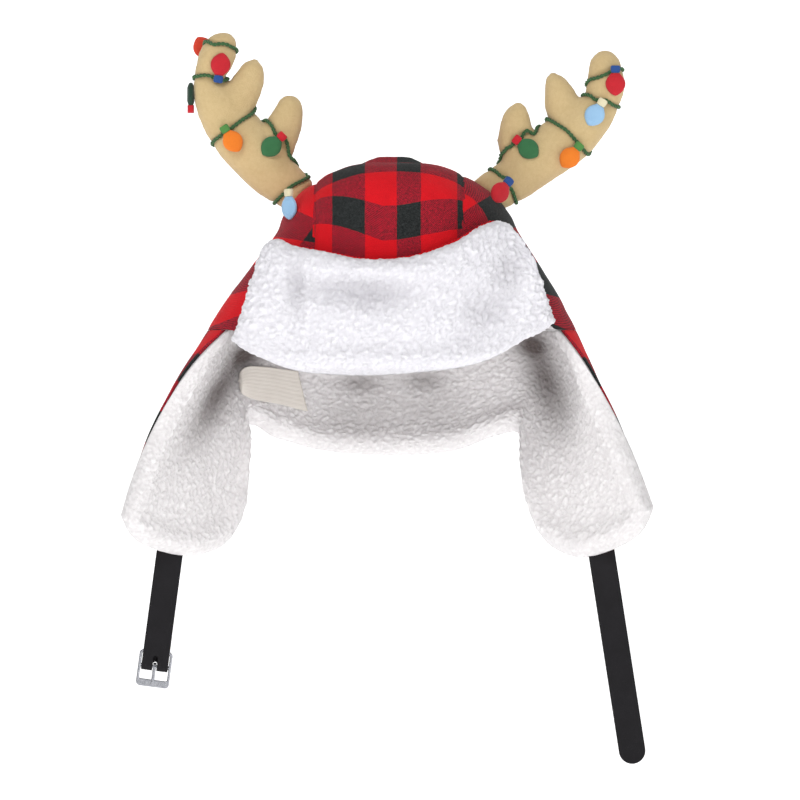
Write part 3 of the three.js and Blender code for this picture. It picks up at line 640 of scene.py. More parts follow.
def centre_panel(p):
    across = np.interp(p[:, 0], COLUMN_EDGES["x"], COLUMN_EDGES["across"])
    front = down_from_top("front", p[:, 1], p[:, 2])
    back = down_from_top("back", p[:, 1], p[:, 2])
    down = np.where(p[:, 1] < 0, front, -back)
    start = np.interp(p[:, 0], ROW_START["x"], ROW_START["down"])
    along = np.where(down > start, down - start, (down - start) * CHECK_HIGH / (start - TOP_ROW))
    return across, np.where(down > TOP_ROW, along, (down - TOP_ROW) / TOP_STRETCH - CHECK_HIGH)


def side_panel(p):
    down = down_from_top("side", p[:, 0] - CROWN_MIDDLE, p[:, 2])
    left = np.interp(p[:, 1], LEFT_COLUMNS["y"], LEFT_COLUMNS["across"])
    right = np.interp(p[:, 1], RIGHT_COLUMNS["y"], RIGHT_COLUMNS["across"])
    on_left = p[:, 0] < 0
    along = np.where(on_left, down - LEFT_ROW, (down - RIGHT_ROW) * RIGHT_SHRINK)
    return np.where(on_left, left, right), along


def from_seam(x):
    return np.abs(np.abs(x - SEAM_MIDDLE) - SEAM_OUT)


def panel_of(middles):
    return (np.abs(middles[:, 0] - SEAM_MIDDLE) > SEAM_OUT).astype(int)


def crown_shell():
    v, grid, normals = crown_grid(240, 100, raised=0.9)
    near_seam = from_seam(grid[..., 0]) / np.sqrt(np.maximum(1 - normals[..., 0] ** 2, 0.1))
    groove = SEAM_DIP * np.exp(-(near_seam / 7) ** 2) + SEAM_LINE * np.exp(-(near_seam / 1.3) ** 2)
    ruck = 0.7 * swell(grid, 26, 3) + 0.3 * swell(grid, 9, 8)
    outer = grid + normals * (ruck * ease(1 - v, 0, 0.1) - groove)[..., None]
    inner = grid - normals * CLOTH
    points, faces = skin(outer, inner, 3, wraps=True)
    piece = make("crown_plaid", points, faces, PLAID)
    cloth_layer(piece, panel_of, [centre_panel, side_panel])
    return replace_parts(piece, "crown_shell")


def curtain_grid(spacing, ends):
    """The curtain's surface. Its columns are spaced along a line low on it, and its rows down a flap."""
    steps = even_shares(lambda s: curtain_at(row_at(HEM, s * HEM_ROWS), NAPE_TURN + 0 * s), spacing, ends)
    rows = even_shares(lambda s: curtain_at(row_at(HEM, FLAP_STEP + 0 * s), s), spacing, ends)
    if ends:
        rows = np.concatenate([[0], rows[ends:]])
    steps, rows = steps[:, None], rows[None, :]
    hem = row_at(HEM, steps * HEM_ROWS + 0 * rows)
    grid = curtain_at(hem, rows + 0 * steps)
    normals = normals_of(grid)
    near_rim = ease(lengths(grid, 1), 12, 0)[..., None]
    return grid, unit(normals * (1 - near_rim) + rim_normal(hem["turn"]) * near_rim)


FRONT_STRIPE = 2.5  # the dark edge of a check along each flap's front
MEASURED_ROW = 10  # the row of its grid that the curtain is measured across on


def curtain_shell():
    grid, normals = curtain_grid(3.2, 0)
    grid = drawn_in(grid, 3.6)
    ruck = 0.5 * swell(grid, 30, 5) * ease(lengths(grid, 1), 0, 15)
    outer = grid + normals * ruck[..., None]
    points, faces = skin(outer, grid - normals * CLOTH, 2)
    piece = make("curtain_plaid", points, faces, PLAID)
    across = lengths(grid[:, MEASURED_ROW], 0)
    tree = BVHTree.FromPolygons([Vector(p) for p in grid.reshape(-1, 3)], grid_faces(*grid.shape[:2]))
    along = lengths(grid, 1)

    def place(points):
        spots = []
        for p in points:
            face = tree.find_nearest(Vector(p))[2]
            i, j = divmod(face, grid.shape[1] - 1)
            origin = grid[i, j]
            ahead, down = grid[i + 1, j] - origin, grid[i, j + 1] - origin
            s = np.clip(np.dot(p - origin, ahead) / np.dot(ahead, ahead), 0, 1)
            t = np.clip(np.dot(p - origin, down) / np.dot(down, down), 0, 1)
            spots.append((across[i] + s * (across[i + 1] - across[i]),
                          along[i, j] + t * (along[i, j + 1] - along[i, j])))
        spots = np.array(spots)
        from_end = np.minimum(spots[:, 0], across[-1] - spots[:, 0])
        return from_end + CHECK - FRONT_STRIPE, spots[:, 1] - CHECK_HIGH

    cloth_layer(piece, lambda middles: np.zeros(len(middles), int), [place])
    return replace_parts(piece, "curtain_shell")


def grid_faces(columns, rows):
    spots = np.arange(columns * rows).reshape(columns, rows)
    corners = (spots[:-1, :-1], spots[1:, :-1], spots[1:, 1:], spots[:-1, 1:])
    return np.stack(corners, -1).reshape(-1, 4).tolist()


# Pile

PILE_ROLL = 9
CURL_SIZES = (5.4, 3.3)


def pile_grid(grid, normals, face, thick, edge, sign, seeds, heights, bulge=0):
    """A pile's face: it stands thick off the cloth, rounds over at its free edges, where it may swell
    out past the cloth, and is broken into curls. Edge is how far each place is from a free edge."""
    over = np.clip(edge / PILE_ROLL, 0, 1)
    lift = np.sqrt(1 - (1 - over) ** 2)
    stand = thick * (0.12 + 0.88 * lift)
    out = grid + sign * normals * (face + stand)[..., None] + bulge
    coarse, small = (curls(out, size, seed) for size, seed in zip(CURL_SIZES, seeds))
    soft = swell(out, 30, seeds[0] + 4)
    rise = heights[0] * (coarse - 0.5) + heights[1] * (small - 0.5) + 0.9 * soft
    near = normals_of(out) * sign
    out = out + near * (rise * (0.35 + 0.65 * lift))[..., None]
    return out, np.clip(0.55 * coarse + 0.6 * small, 0, 1)


def edge_distance(grid, free, band=PILE_ROLL):
    """How far each place is from the nearest free edge, and the way out past that edge, which fades
    over a band along it."""
    along, down = lengths(grid, 0), lengths(grid, 1)
    choices = {
        "start": (along, grid[:1] - grid[1:2]),
        "end": (along[-1:] - along, grid[-1:] - grid[-2:-1]),
        "top": (down, grid[:, :1] - grid[:, 1:2]),
        "foot": (down[:, -1:] - down, grid[:, -1:] - grid[:, -2:-1]),
    }
    nearest = np.full(grid.shape[:2], 1e3)
    push = np.zeros(grid.shape)
    for side in free:
        distance, away = choices[side]
        nearest = np.minimum(nearest, distance)
        share = np.clip(1 - distance / band, 0, 1)
        push += unit(away + 0 * grid) * (share * np.sqrt(1 - (1 - share) ** 2))[..., None]
    return nearest, push


HEM_EDGES = ("start", "end", "foot")
NECK_DRAWN = {"left": 9, "right": 4, "height": -208, "high": 38, "band": 26}


def drawn_in(grid, least):
    """The curtain's cloth, drawn in at its free edges, and most beside the neck."""
    x, z = np.abs(grid[..., 0]), grid[..., 2]
    level = np.exp(-((z - NECK_DRAWN["height"]) / NECK_DRAWN["high"]) ** 2)
    beside = level * ease(x, 150, 135) * ease(x, 88, 104)
    reach = least + beside * np.where(grid[..., 0] < 0, NECK_DRAWN["left"], NECK_DRAWN["right"])
    return grid - edge_distance(grid, HEM_EDGES, NECK_DRAWN["band"])[1] * reach[..., None]


# Where the lining is pushed in and shaded: the valley inside each flap's rolled edge, and under the brim.
# The last column thins the pile there and darkens its colour as painted shade.
LINING_HOLLOWS = table(
    "x z wide high lean flat",
    (-137, -160, 13, 34, 0.5, 0.9),
    (-113, -131, 16, 12, 0, 0.8),
    (121, -150, 17, 38, -0.3, 0.85),
    (112, -124, 16, 9, 0, 0.6),
    (-24, -153, 17, 8, 0, 0.5),
    (25, -151, 17, 8, 0, 0.5),
    (-30, -176, 34, 20, 0, 0.25),
    (30, -172, 36, 16, 0, 0.25),
)


# A map of the hollows. It thins the pile, and greys its colour as painted shade.
def pressed_shade(grid, hollows):
    flat = np.zeros(grid.shape[:2])
    for x, z, wide, high, lean, depth in zip(*hollows.values()):
        off = grid[..., 2] - z
        flat += depth * np.exp(-((grid[..., 0] - x - lean * off) / wide) ** 2 - (off / high) ** 2)
    return np.clip(flat, 0, 1)


def pile_layers(points, curl, flat):
    """The curls of a pile's face, and its hollows and shaded places, which get painted shade. There are
    none on its back, whose points follow.
    """
    return {name: np.append(values.ravel(), np.zeros(len(points) - values.size))
            for name, values in (("curl", curl), ("flat", flat))}


def curtain_lining():
    grid, normals = curtain_grid(1.2, 5)
    grid = drawn_in(grid, 0.4)
    edge, _ = edge_distance(grid, HEM_EDGES)
    down = lengths(grid, 1)
    # The lining's hollows thin its pile and set painted shade in its colour.
    flat = pressed_shade(grid, LINING_HOLLOWS)
    rolled = 0.5 * np.exp(-((edge - 12) / 9) ** 2) - 0.45 * flat
    thick = PILE * (1 + rolled * ease(down, 10, 40)) - 1.5 * (1 - ease(down, 0, 6))
    face = CLOTH + GAP
    out, curl = pile_grid(grid, normals, face, thick, edge, -1, (2, 9), (1.3, 1.0))
    points, faces = skin(out, grid - normals * face, 4, flip=True)
    piece = make("curtain_pile", points, faces, PILE_LINING, layers=pile_layers(points, curl, flat))
    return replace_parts(piece, "curtain_lining")


def crown_lining():
    v, grid, normals = crown_grid(232, 80, raised=0.7)
    face = CLOTH + GAP
    curl = curls(grid, 6, 21)
    inner = grid - normals * (face + PILE - 1.2 + 1.6 * (curl - 0.5) * ease(1 - v, 0, 0.04))[..., None]
    points, faces = skin(inner, grid - normals * face, 3, wraps=True, flip=True)
    # Painted shade: the lining's colour greys towards its rim, inside under the brim.
    layers = pile_layers(points, curl, 0.6 * ease(v, 0.85, 0.98))
    piece = make("crown_pile", points, faces, PILE_LINING, layers=layers)
    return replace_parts(piece, "crown_lining")


# The brim's hollows and bulges, where the head and hands have pressed its pile.
BRIM_DENTS = table(
    "x z wide high lift",
    (-30, -82, 40, 10, -4.5),
    (-8, -90, 30, 12, -3.5),
    (-68, -82, 6, 26, -4),
    (-92, -90, 15, 26, 2.5),
    (84, -70, 13, 15, -4),
    (66, -98, 18, 15, -4.5),
    (48, -118, 18, 8, -2),
    (20, -108, 24, 16, 2.5),
    (-5, -147, 100, 5, -3.5),
    (100, -84, 12, 20, 2),
    (0, -133, 76, 7, 3.5),
    (-5, -70, 50, 5, 1.5),
)
BRIM_END = {"x": 104, "z": -70, "wide": 26, "out": 6}
LEAST_PILE = 3


def brim_grid(spacing, ends):
    """The brim's surface, which swells outwards at its right end."""
    across = even_shares(lambda s: brim_at(row_at(BRIM, s * BRIM_ROWS), 0.5 + 0 * s), spacing, ends)
    up = even_shares(lambda s: brim_at(row_at(BRIM, BRIM_MIDDLE_STEP + 0 * s), s), spacing, ends)
    across, up = across[:, None], up[None, :]
    grid = brim_at(row_at(BRIM, across * BRIM_ROWS + 0 * up), up + 0 * across)
    beyond, above = grid[..., 0] - BRIM_END["x"], grid[..., 2] - BRIM_END["z"]
    grid[..., 0] += BRIM_END["out"] * np.exp(-(beyond ** 2 + above ** 2) / BRIM_END["wide"] ** 2)
    return up, grid, normals_of(grid)


def brim_pile():
    _, grid, normals = brim_grid(1.15, 5)
    edge, _ = edge_distance(grid, ("top", *HEM_EDGES))
    push = 1.2 * edge_distance(grid, HEM_EDGES)[1] - edge_distance(grid, ("top",))[1]
    thick = BRIM_PILE - 1.0 + np.zeros(grid.shape[:2])
    for x, z, wide, high, lift in zip(*BRIM_DENTS.values()):
        away = ((grid[..., 0] - x) / wide) ** 2 + ((grid[..., 2] - z) / high) ** 2
        thick += lift * np.exp(-away)
    thick = np.maximum(thick, LEAST_PILE)
    # Painted shade: the pile's colour greys where its dents go deepest, and along its foot.
    flat = np.clip((BRIM_PILE - 1.5 - thick) / 12, 0, 0.5)
    face = BRIM_SEAT + CLOTH + GAP
    out, curl = pile_grid(grid, normals, face, thick, edge, 1, (5, 14), (1.9, 1.5), push)
    points, faces = skin(out, grid + normals * face, 4)
    piece = make("turned_up_brim", points, faces, PILE_BRIM, layers=pile_layers(points, curl, flat))
    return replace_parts(piece, "brim_pile")


FRINGE_PITCH = 2.6
FRINGE_HIGH = 1.8
FRINGE_BASE = 0.7
FRINGE_BAND = 5
BACKING_SHORT = 3.5


def brim_backing():
    """The brim's plaid back. Pinked teeth of it show past the pile along the top."""
    up, grid, normals = brim_grid(1.3, 0)
    along = lengths(grid, 0)[:, -1:]
    teeth = np.abs((along / FRINGE_PITCH) % 1 - 0.5) * 2 * FRINGE_HIGH + FRINGE_BASE
    away = unit(grid[:, -1:] - grid[:, -2:-1])
    below = unit(grid[:, :1] - grid[:, 1:2])
    short = BACKING_SHORT * ease(up, 0.07, 0)
    grid = grid + away * (teeth * ease(up, 0.93, 1))[..., None] - below * short[..., None]
    face = BRIM_SEAT + CLOTH
    points, faces = skin(grid + normals * face, grid + normals * BRIM_SEAT, 1)
    piece = make("brim_back", points, faces, PLAID)

    def near_edge(middles):
        edge = np.interp(middles[:, 0], BRIM["edge_x"], BRIM["edge_z"])
        return (middles[:, 2] > edge - FRINGE_BAND).astype(int)

    red = (1.5 * CHECK, 1.5 * CHECK_HIGH)
    cloth_layer(piece, near_edge, [lambda p: (p[:, 0] + 4, -p[:, 2]),
                                   lambda p: (red[0] + 0 * p[:, 0], red[1] + 0 * p[:, 0])])
    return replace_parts(piece, "brim_backing")


TAB = {"from": 6.9, "to": 8.9, "top": 0.42, "foot": 0.74, "slant": 0.02, "thick": 1.6}


def inside_tab():
    """A ribbed satin tape sewn to the nape's pile, in one thickness."""
    u = np.linspace(0, 1, 70)[:, None]
    v = np.linspace(0, 1, 40)[None, :]
    round_end = np.sqrt(1 - np.clip(1 - u / 0.45, 0, 1) ** 2) * 0.85 + 0.15
    step = TAB["from"] + (TAB["to"] - TAB["from"]) * (u + 0 * v)
    down = TAB["top"] + (TAB["foot"] - TAB["top"]) * (0.5 + (v - 0.5) * round_end) + TAB["slant"] * u
    grid = curtain_at(row_at(HEM, step), down)
    normals = normals_of(grid)
    face = CLOTH + GAP + PILE + 0.6
    ribs = 0.1 * np.sin(v * 2 * np.pi * 9)
    fold = 2.6 * np.exp(-((u - 0.02) / 0.22) ** 2) * np.sin(v * np.pi)
    outer = grid - normals * (face + TAB["thick"] + ribs + fold)[..., None]
    points, faces = skin(outer, grid - normals * (face + 0.2), 1, flip=True)
    piece = make("satin_tab", points, faces, SATIN)
    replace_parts(piece, "inside_tab")


def satin_finish():
    finish = Finish("ribbed_satin", roughness=0.5, sheen_weight=0.3)
    x, _, z = finish.parts_of(finish.place)
    ribs = abs(((z * 0.97 + x * 0.1) / (1.1 * MM)).part() - 0.5)
    weave = finish.cloudy(0.5, 2)
    crumple = finish.cloudy(9, 2)
    colour = finish.mix(ribs * 0.5 + weave * 0.3 + crumple * 0.3, rgb(236, 230, 222), rgb(202, 194, 184))
    return finish.paint(colour, None, ribs * 0.5 + crumple, 0.25)


# Antlers

def copy_of(node, name, voxel, times):
    """A new piece with the shape of a node of the frame, in faces of an even size, and smoothed."""
    shape = bpy.data.meshes.new(name)
    source = NODES[node].data
    shape.from_pydata([v.co[:] for v in source.vertices], [], [p.vertices[:] for p in source.polygons])
    return with_modifiers(linked(name, shape), ("WELD", {"merge_threshold": 0.002 * MM}),
                          ("REMESH", {"mode": "VOXEL", "voxel_size": voxel * MM}),
                          ("SMOOTH", {"factor": 0.5, "iterations": times}))


def with_modifiers(piece, *modifiers):
    """Changes a piece's shape by modifiers, and leaves none of them on it."""
    for kind, settings in modifiers:
        modifier = piece.modifiers.new(kind.lower(), kind)
        for key, value in settings.items():
            setattr(modifier, key, value)
    bpy.context.view_layer.update()
    evaluated = piece.evaluated_get(bpy.context.evaluated_depsgraph_get())
    shape = bpy.data.meshes.new_from_object(evaluated)
    piece.modifiers.clear()
    piece.data = shape
    return piece


def tree_of(piece):
    return BVHTree.FromPolygons([Vector(p) for p in spots_of(piece)],
                                [p.vertices[:] for p in piece.data.polygons])


CORD = 3
SMOOTHED_AWAY = 2.2
REACH = {"front": -18, "edge": 0, "back": 18}
ANTLER_BACK = 10
ROUTES = {
    "left": (
        (-74, -4, "back"), (-86, -14, "edge"), (-73, -6, "front"), (-61, 3, "edge"), (-66, 9, "back"),
        (-71, 14, "edge"), (-76, 22, "front"), (-85, 32, "front"), (-95, 43, "edge"),
        (-110, 33, "back"), (-136, 25, "edge"), (-120, 38, "front"), (-103, 52, "edge"),
        (-126, 62, "back"), (-150, 76, "edge"), (-137, 75, "front"), (-125, 73, "edge"),
        (-134, 87, "back"), (-141, 102, "edge"), (-130, 102, "front"), (-116, 96, "edge"),
        (-125, 93, "back"),
    ),
    "right": (
        (82, -6, "back"), (74, 6, "edge"), (85, 0, "front"), (94, -20, "edge"), (87, -3, "back"),
        (79, 14, "edge"), (87, 24, "front"), (99, 34, "front"), (112, 36, "edge"), (117, 38, "back"),
        (115, 45, "edge"), (131, 35, "front"), (148, 18, "edge"), (149, 42, "back"),
        (144, 62, "edge"), (157, 58, "front"), (172, 53, "edge"), (160, 61, "back"),
        (146, 71, "edge"), (155, 79, "front"), (163, 82, "front"), (174, 82, "edge"),
        (165, 78, "back"),
    ),
}


def through(points, spacing):
    """Evenly spaced places on a smooth line through points."""
    points = np.asarray(points, float)
    whole = np.vstack([2 * points[0] - points[1], points, 2 * points[-1] - points[-2]])
    gaps = np.maximum(np.linalg.norm(np.diff(whole, axis=0), axis=1), 1e-6) ** 0.5
    t = np.linspace(0, 1, 12, endpoint=False)[:, None]
    line = []
    for k in range(1, len(whole) - 2):
        a, b, c, d = whole[k - 1:k + 3]
        before, here, after = gaps[k - 1:k + 2]
        leave = here * ((b - a) / before - (c - a) / (before + here) + (c - b) / here)
        reach = here * ((c - b) / here - (d - b) / (here + after) + (d - c) / after)
        line.append(b + t * leave + t ** 2 * (3 * (c - b) - 2 * leave - reach)
                    + t ** 3 * (2 * (b - c) + leave + reach))
    line = np.vstack(line + [points[-1:]])
    far = lengths(line, 0)
    wanted = np.linspace(0, far[-1], max(int(far[-1] / spacing), 2))
    return np.stack([np.interp(wanted, far, line[:, i]) for i in range(3)], -1)


def seated(points, tree, off):
    """Points moved to lie a distance off a surface."""
    found = []
    for p in points:
        spot, normal, _, _ = tree.find_nearest(Vector(p))
        away = (Vector(p) - spot).normalized()
        if away.dot(normal) < 0:
            away.negate()
        found.append(spot + away * off)
    return np.array(found)


def smoothed(points, times):
    for _ in range(times):
        points[1:-1] = points[1:-1] * 0.5 + (points[:-2] + points[2:]) * 0.25
    return points


def cord_line(side, tree, off):
    line = [(x, ANTLER_BACK + REACH[passing], z) for x, z, passing in ROUTES[side]]
    for _ in range(2):
        line = seated(through(line, 5.2), tree, off)
    line = through(line, 0.8)
    for _ in range(2):
        line = smoothed(seated(line, tree, off), 3)
    return line


def nearest_gap(spots, line):
    """How far each spot is from a line of points."""
    gaps = np.full(len(spots), 1e9)
    for start in range(0, len(line), 60):
        part = np.linalg.norm(spots[:, None] - line[None, start:start + 60], axis=2)
        gaps = np.minimum(gaps, part.min(1))
    return gaps


PRESSURE = 4
PRESSED_FRAMES = 20
MOST_SWELL = 1.4


def stuff(piece, held):
    """Swells a stuffed piece a little by the pressure inside it, except where it is held."""
    before = spots_of(piece)
    group = piece.vertex_groups.new(name="held")
    for number, share in enumerate(held):
        group.add([number], float(share), "REPLACE")
    cloth = piece.modifiers.new("stuffing", "CLOTH")
    cloth.settings.use_pressure = True
    cloth.settings.uniform_pressure_force = PRESSURE
    cloth.settings.effector_weights.gravity = 0
    cloth.settings.vertex_group_mass = "held"
    for moment in range(PRESSED_FRAMES):
        bpy.context.scene.frame_set(moment + 1)
    with_modifiers(piece)
    bpy.context.scene.frame_set(1)
    moved = spots_of(piece) - before
    size = np.linalg.norm(moved, axis=1, keepdims=True)
    set_spots(piece, before + moved * np.minimum(1, MOST_SWELL / np.maximum(size, 1e-6)))
    piece.vertex_groups.clear()


def antler(side):
    """A felt antler of two halves sewn together, stuffed, and drawn in where its cord runs."""
    piece = copy_of(f"antler_{side}", f"felt_antler_{side}", 2.6, 7)
    set_spots(piece, spots_of(piece) + normals_at(piece) * SMOOTHED_AWAY)
    line = cord_line(side, tree_of(piece), CORD / 2)
    held = np.exp(-(nearest_gap(spots_of(piece), line) / 4) ** 2)
    stuff(piece, np.clip(held * 1.6, 0.05, 1))
    with_modifiers(piece, ("SUBSURF", {"levels": 1}))
    spots, normals = spots_of(piece), normals_at(piece)
    gap = nearest_gap(spots, line)
    seam = np.exp(-((spots[:, 1] - ANTLER_BACK) / 1.1) ** 2) * (1 - normals[:, 1] ** 2) ** 4
    soft = swell(spots, 16, 31)
    change = 0.7 * soft - 1.5 * np.exp(-(gap / 2.3) ** 2) - 0.6 * seam
    set_spots(piece, spots + normals * change[:, None])
    # The painted shade of the cord's grooves and the seam, which the felt's colour reads.
    layer = piece.data.attributes.new("hollow_shade", "FLOAT", "POINT")
    hollow_shade = np.maximum(np.exp(-(gap / 2.6) ** 2), 0.7 * seam)
    layer.data.foreach_set("value", hollow_shade.astype(np.float32))
    dress(piece, ANTLER_FELT)
    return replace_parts(piece, f"antler_{side}")


def frames_along(line):
    """Two directions across a line of points, which don't twist along it."""
    ahead = unit(np.gradient(line, axis=0))
    across = np.zeros_like(line)
    side = np.cross(ahead[0], (0.3, 1.0, 0.2))
    for k, way in enumerate(ahead):
        side = unit(side - way * np.dot(side, way))
        across[k] = side
    return across, np.cross(ahead, across)


def tube(line, radius, sides):
    """A closed tube along a line of points, with a radius for each."""
    across, up = frames_along(line)
    angle = np.linspace(0, 2 * np.pi, sides, endpoint=False)
    rings = line[:, None] + radius[:, None, None] * (
        np.cos(angle)[None, :, None] * across[:, None] + np.sin(angle)[None, :, None] * up[:, None])
    return lofted(rings, line[0], line[-1])


def lofted(rings, first, last):
    """A closed body through rings of points, shut by a fan at each end."""
    count, sides = rings.shape[:2]
    spots = np.arange(count * sides).reshape(count, sides)
    after = np.roll(spots, -1, 1)
    corners = (spots[:-1], after[:-1], after[1:], spots[1:])
    faces = np.stack(corners, -1).reshape(-1, 4).tolist()
    faces += [[count * sides, b, a] for a, b in zip(spots[0], after[0])]
    faces += [[count * sides + 1, a, b] for a, b in zip(spots[-1], after[-1])]
    return np.vstack([rings.reshape(-1, 3), first, last]), faces


def joined(parts):
    points, faces = [], []
    for part_points, part_faces in parts:
        offset = sum(len(p) for p in points)
        points.append(part_points)
        faces += [[corner + offset for corner in face] for face in part_faces]
    return np.vstack(points), faces


PLY_PITCH = 6.5


def wound_cord(side, carrier):
    """Two plies of spun yarn, twisted round each other and wound round the antler."""
    line = cord_line(side, tree_of(carrier), CORD / 2 - 0.25)
    across, up = frames_along(line)
    turn = lengths(line, 0) * 2 * np.pi / PLY_PITCH
    ends = np.minimum(np.arange(len(line)), np.arange(len(line))[::-1]) / 3
    parts = []
    for start in (0, np.pi):
        angle = (turn + start)[:, None]
        ply = line + 0.68 * (np.cos(angle) * across + np.sin(angle) * up)
        parts.append(tube(ply, 0.86 * np.minimum(1, 0.3 + ends), 8))
    points, faces = joined(parts)
    piece = make(f"yarn_cord_{side}", points, faces, CORD_YARN)
    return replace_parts(piece, f"antler_cord_{side}")


# Felt bulbs

BULB_OUTLINE = table(
    "along half",
    (0, 0.44), (0.1, 0.62), (0.22, 0.84), (0.36, 0.97), (0.5, 1.0), (0.64, 0.93), (0.78, 0.75), (0.9, 0.48),
    (0.97, 0.24), (1, 0.06),
)
BULB_SLOTS = {
    "left": ("orange_red_felt", "red_felt", "dark_green_felt", "orange_felt", "green_felt",
             "pale_blue_felt"),
    "right": ("red_felt", "green_felt", "orange_felt", "pale_blue_felt", "red_felt"),
}
CAP_SLOTS = {
    "left": ("blue_felt", "blue_felt", "red_felt", "leaf_felt", "red_felt", "cream_felt"),
    "right": ("blue_felt", "red_felt", "leaf_felt", "cream_felt", "blue_felt"),
}
FELT_COLOURS = {
    "red_felt": ((212, 30, 44), (168, 20, 34)),
    "orange_red_felt": ((228, 72, 44), (190, 50, 32)),
    "orange_felt": ((246, 140, 38), (222, 108, 22)),
    "green_felt": ((58, 122, 74), (40, 92, 56)),
    "dark_green_felt": ((36, 68, 50), (22, 48, 36)),
    "leaf_felt": ((92, 150, 76), (66, 118, 54)),
    "pale_blue_felt": ((166, 204, 234), (132, 176, 214)),
    "blue_felt": ((42, 86, 156), (28, 60, 120)),
    "cream_felt": ((236, 230, 200), (208, 198, 160)),
}


def felt_piece(node, outline, flange, fill):
    """Two layers of felt cut to an outline, with a little filling between them."""
    def spots(name):
        return np.array([v.co[:] for v in NODES[name].data.vertices]) / MM

    own = spots(node)
    partner = spots(node.removesuffix("_cap") if node.endswith("_cap") else node + "_cap")
    away = 1 if not node.endswith("_cap") else -1
    ahead = unit((own.min(0) + own.max(0)) / 2 - (partner.min(0) + partner.max(0)) / 2) * away
    centred = own - own.mean(0)
    thin = unit(np.linalg.svd(centred, full_matrices=False)[2][2])
    thin = unit(thin - ahead * np.dot(thin, ahead))
    wide = np.cross(ahead, thin)
    low, high = (own @ ahead).min(), (own @ ahead).max()
    half = (np.ptp(own @ wide)) / 2
    thick = np.ptp(own @ thin) / 2
    middle = wide * ((own @ wide).min() + half) + thin * ((own @ thin).min() + thick)
    t = np.linspace(0, 1, 26)
    width = row_at(outline, np.interp(t, outline["along"], np.arange(len(outline["along"]))))["half"]
    angle = np.linspace(0, 2 * np.pi, 28, endpoint=False)
    s, face = np.cos(angle), np.sign(np.sin(angle)) * np.minimum(np.abs(np.sin(angle)) * 4, 1)
    full = np.minimum(1, width * 1.3)[:, None] * (1 - np.abs(s[None, :]) ** 2.4) ** 0.8
    depth = face[None, :] * np.minimum(flange + (thick - flange) * full * fill, thick)
    along = ahead * (low + t * (high - low))[:, None, None]
    rings = middle + along + wide * (width[:, None] * half * s)[..., None] + thin * depth[..., None]
    return lofted(rings, rings[0].mean(0), rings[-1].mean(0))


CAP_OUTLINE = table("along half", (0, 0.78), (0.1, 0.94), (0.3, 1.0), (0.7, 0.97), (0.92, 0.9), (1, 0.78))


def felt_bulbs(side):
    for number, slots in enumerate(zip(BULB_SLOTS[side], CAP_SLOTS[side]), 1):
        for suffix, slot, outline, flange, fill in (
            ("", slots[0], BULB_OUTLINE, 0.75, 0.9),
            ("_cap", slots[1], CAP_OUTLINE, 1.3, 1.0),
        ):
            node = f"bulb_{side}_{number}{suffix}"
            points, faces = felt_piece(node, outline, flange, fill)
            piece = make(f"felt_{node}", points, faces, FELTS[slot])
            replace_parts(piece, node)


# Straps and buckle

STRAP = 20
STRAP_THICK = 1.8
BAR = (-178.0, -1.0, -366.248)
LEFT_AXIS = (0.99122, 0, -0.13226)
RIGHT_TOP = (157.5, -2.0, -283.607)
RIGHT_AXIS = (0.98823, 0, 0.15299)
RIGHT_LENGTH = 157.5
LEFT_LENGTH = 84
LOOP = 2.5  # how far the folded strap's front and back are from the bar's middle
SLOT_HALF = 1.7
TUCK = 4  # how far a strap's top runs up into the pile


def strap_at(origin, axis, points):
    """Points of a hanging strap's own frame, across it, through it and up it, in the hat's frame."""
    axis = np.array(axis)
    up = np.array((-axis[2], 0, axis[0]))
    return np.array(origin) + points[..., :1] * axis + points[..., 1:2] * (0, 1, 0) + points[..., 2:] * up


def webbing(line, half_widths):
    """A bound strap along a line in its own frame's thickness and height."""
    x = np.concatenate([np.linspace(-1, -0.9, 5), np.linspace(-0.87, 0.87, 23), np.linspace(0.9, 1, 5)])
    edge = (1 - np.abs(x)) * STRAP / 2
    thick = STRAP_THICK / 2 * np.sqrt(1 - np.clip(1 - edge / 0.9, 0, 1) ** 2)
    thick -= 0.2 * np.exp(-((edge - 2) / 0.35) ** 2) + 0.06 * np.exp(-((edge - 6) / 4) ** 2)
    ahead = unit(np.gradient(line, axis=0))
    side = np.stack([ahead[:, 1], -ahead[:, 0]], -1)
    rings = []
    for spot, out, half in zip(line, side, half_widths):
        scale = min(half / 2, 1)
        top = [(half * a, *(spot + out * b * scale)) for a, b in zip(x, thick)]
        foot = [(half * a, *(spot - out * b * scale)) for a, b in zip(x[::-1], thick[::-1])]
        rings.append(top[:-1] + foot[:-1])
    rings = np.array(rings)
    return lofted(rings, rings[0].mean(0), rings[-1].mean(0))


def outward(piece):
    """Turns a closed piece's faces to look out of it."""
    shape = bmesh.new()
    shape.from_mesh(piece.data)
    bmesh.ops.recalc_face_normals(shape, faces=shape.faces)
    shape.to_mesh(piece.data)
    shape.free()
    return piece


def strap_right():
    radius = STRAP / 2
    round_from = radius - RIGHT_LENGTH
    turn = np.linspace(0, np.pi / 2, 12)
    down = np.concatenate([np.arange(TUCK, round_from, -1.6), round_from - radius * np.sin(turn)])
    end = np.sqrt(np.maximum(radius ** 2 - (down - round_from) ** 2, 0.01))
    half = np.where(down > round_from, radius, end)
    sway = 0.25 * np.sin(down / 31)
    points, faces = webbing(np.stack([sway, down], -1), half)
    piece = make("strap_plain", strap_at(RIGHT_TOP, RIGHT_AXIS, points), faces, STRAP_BLACK)
    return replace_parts(outward(piece), "strap_right")


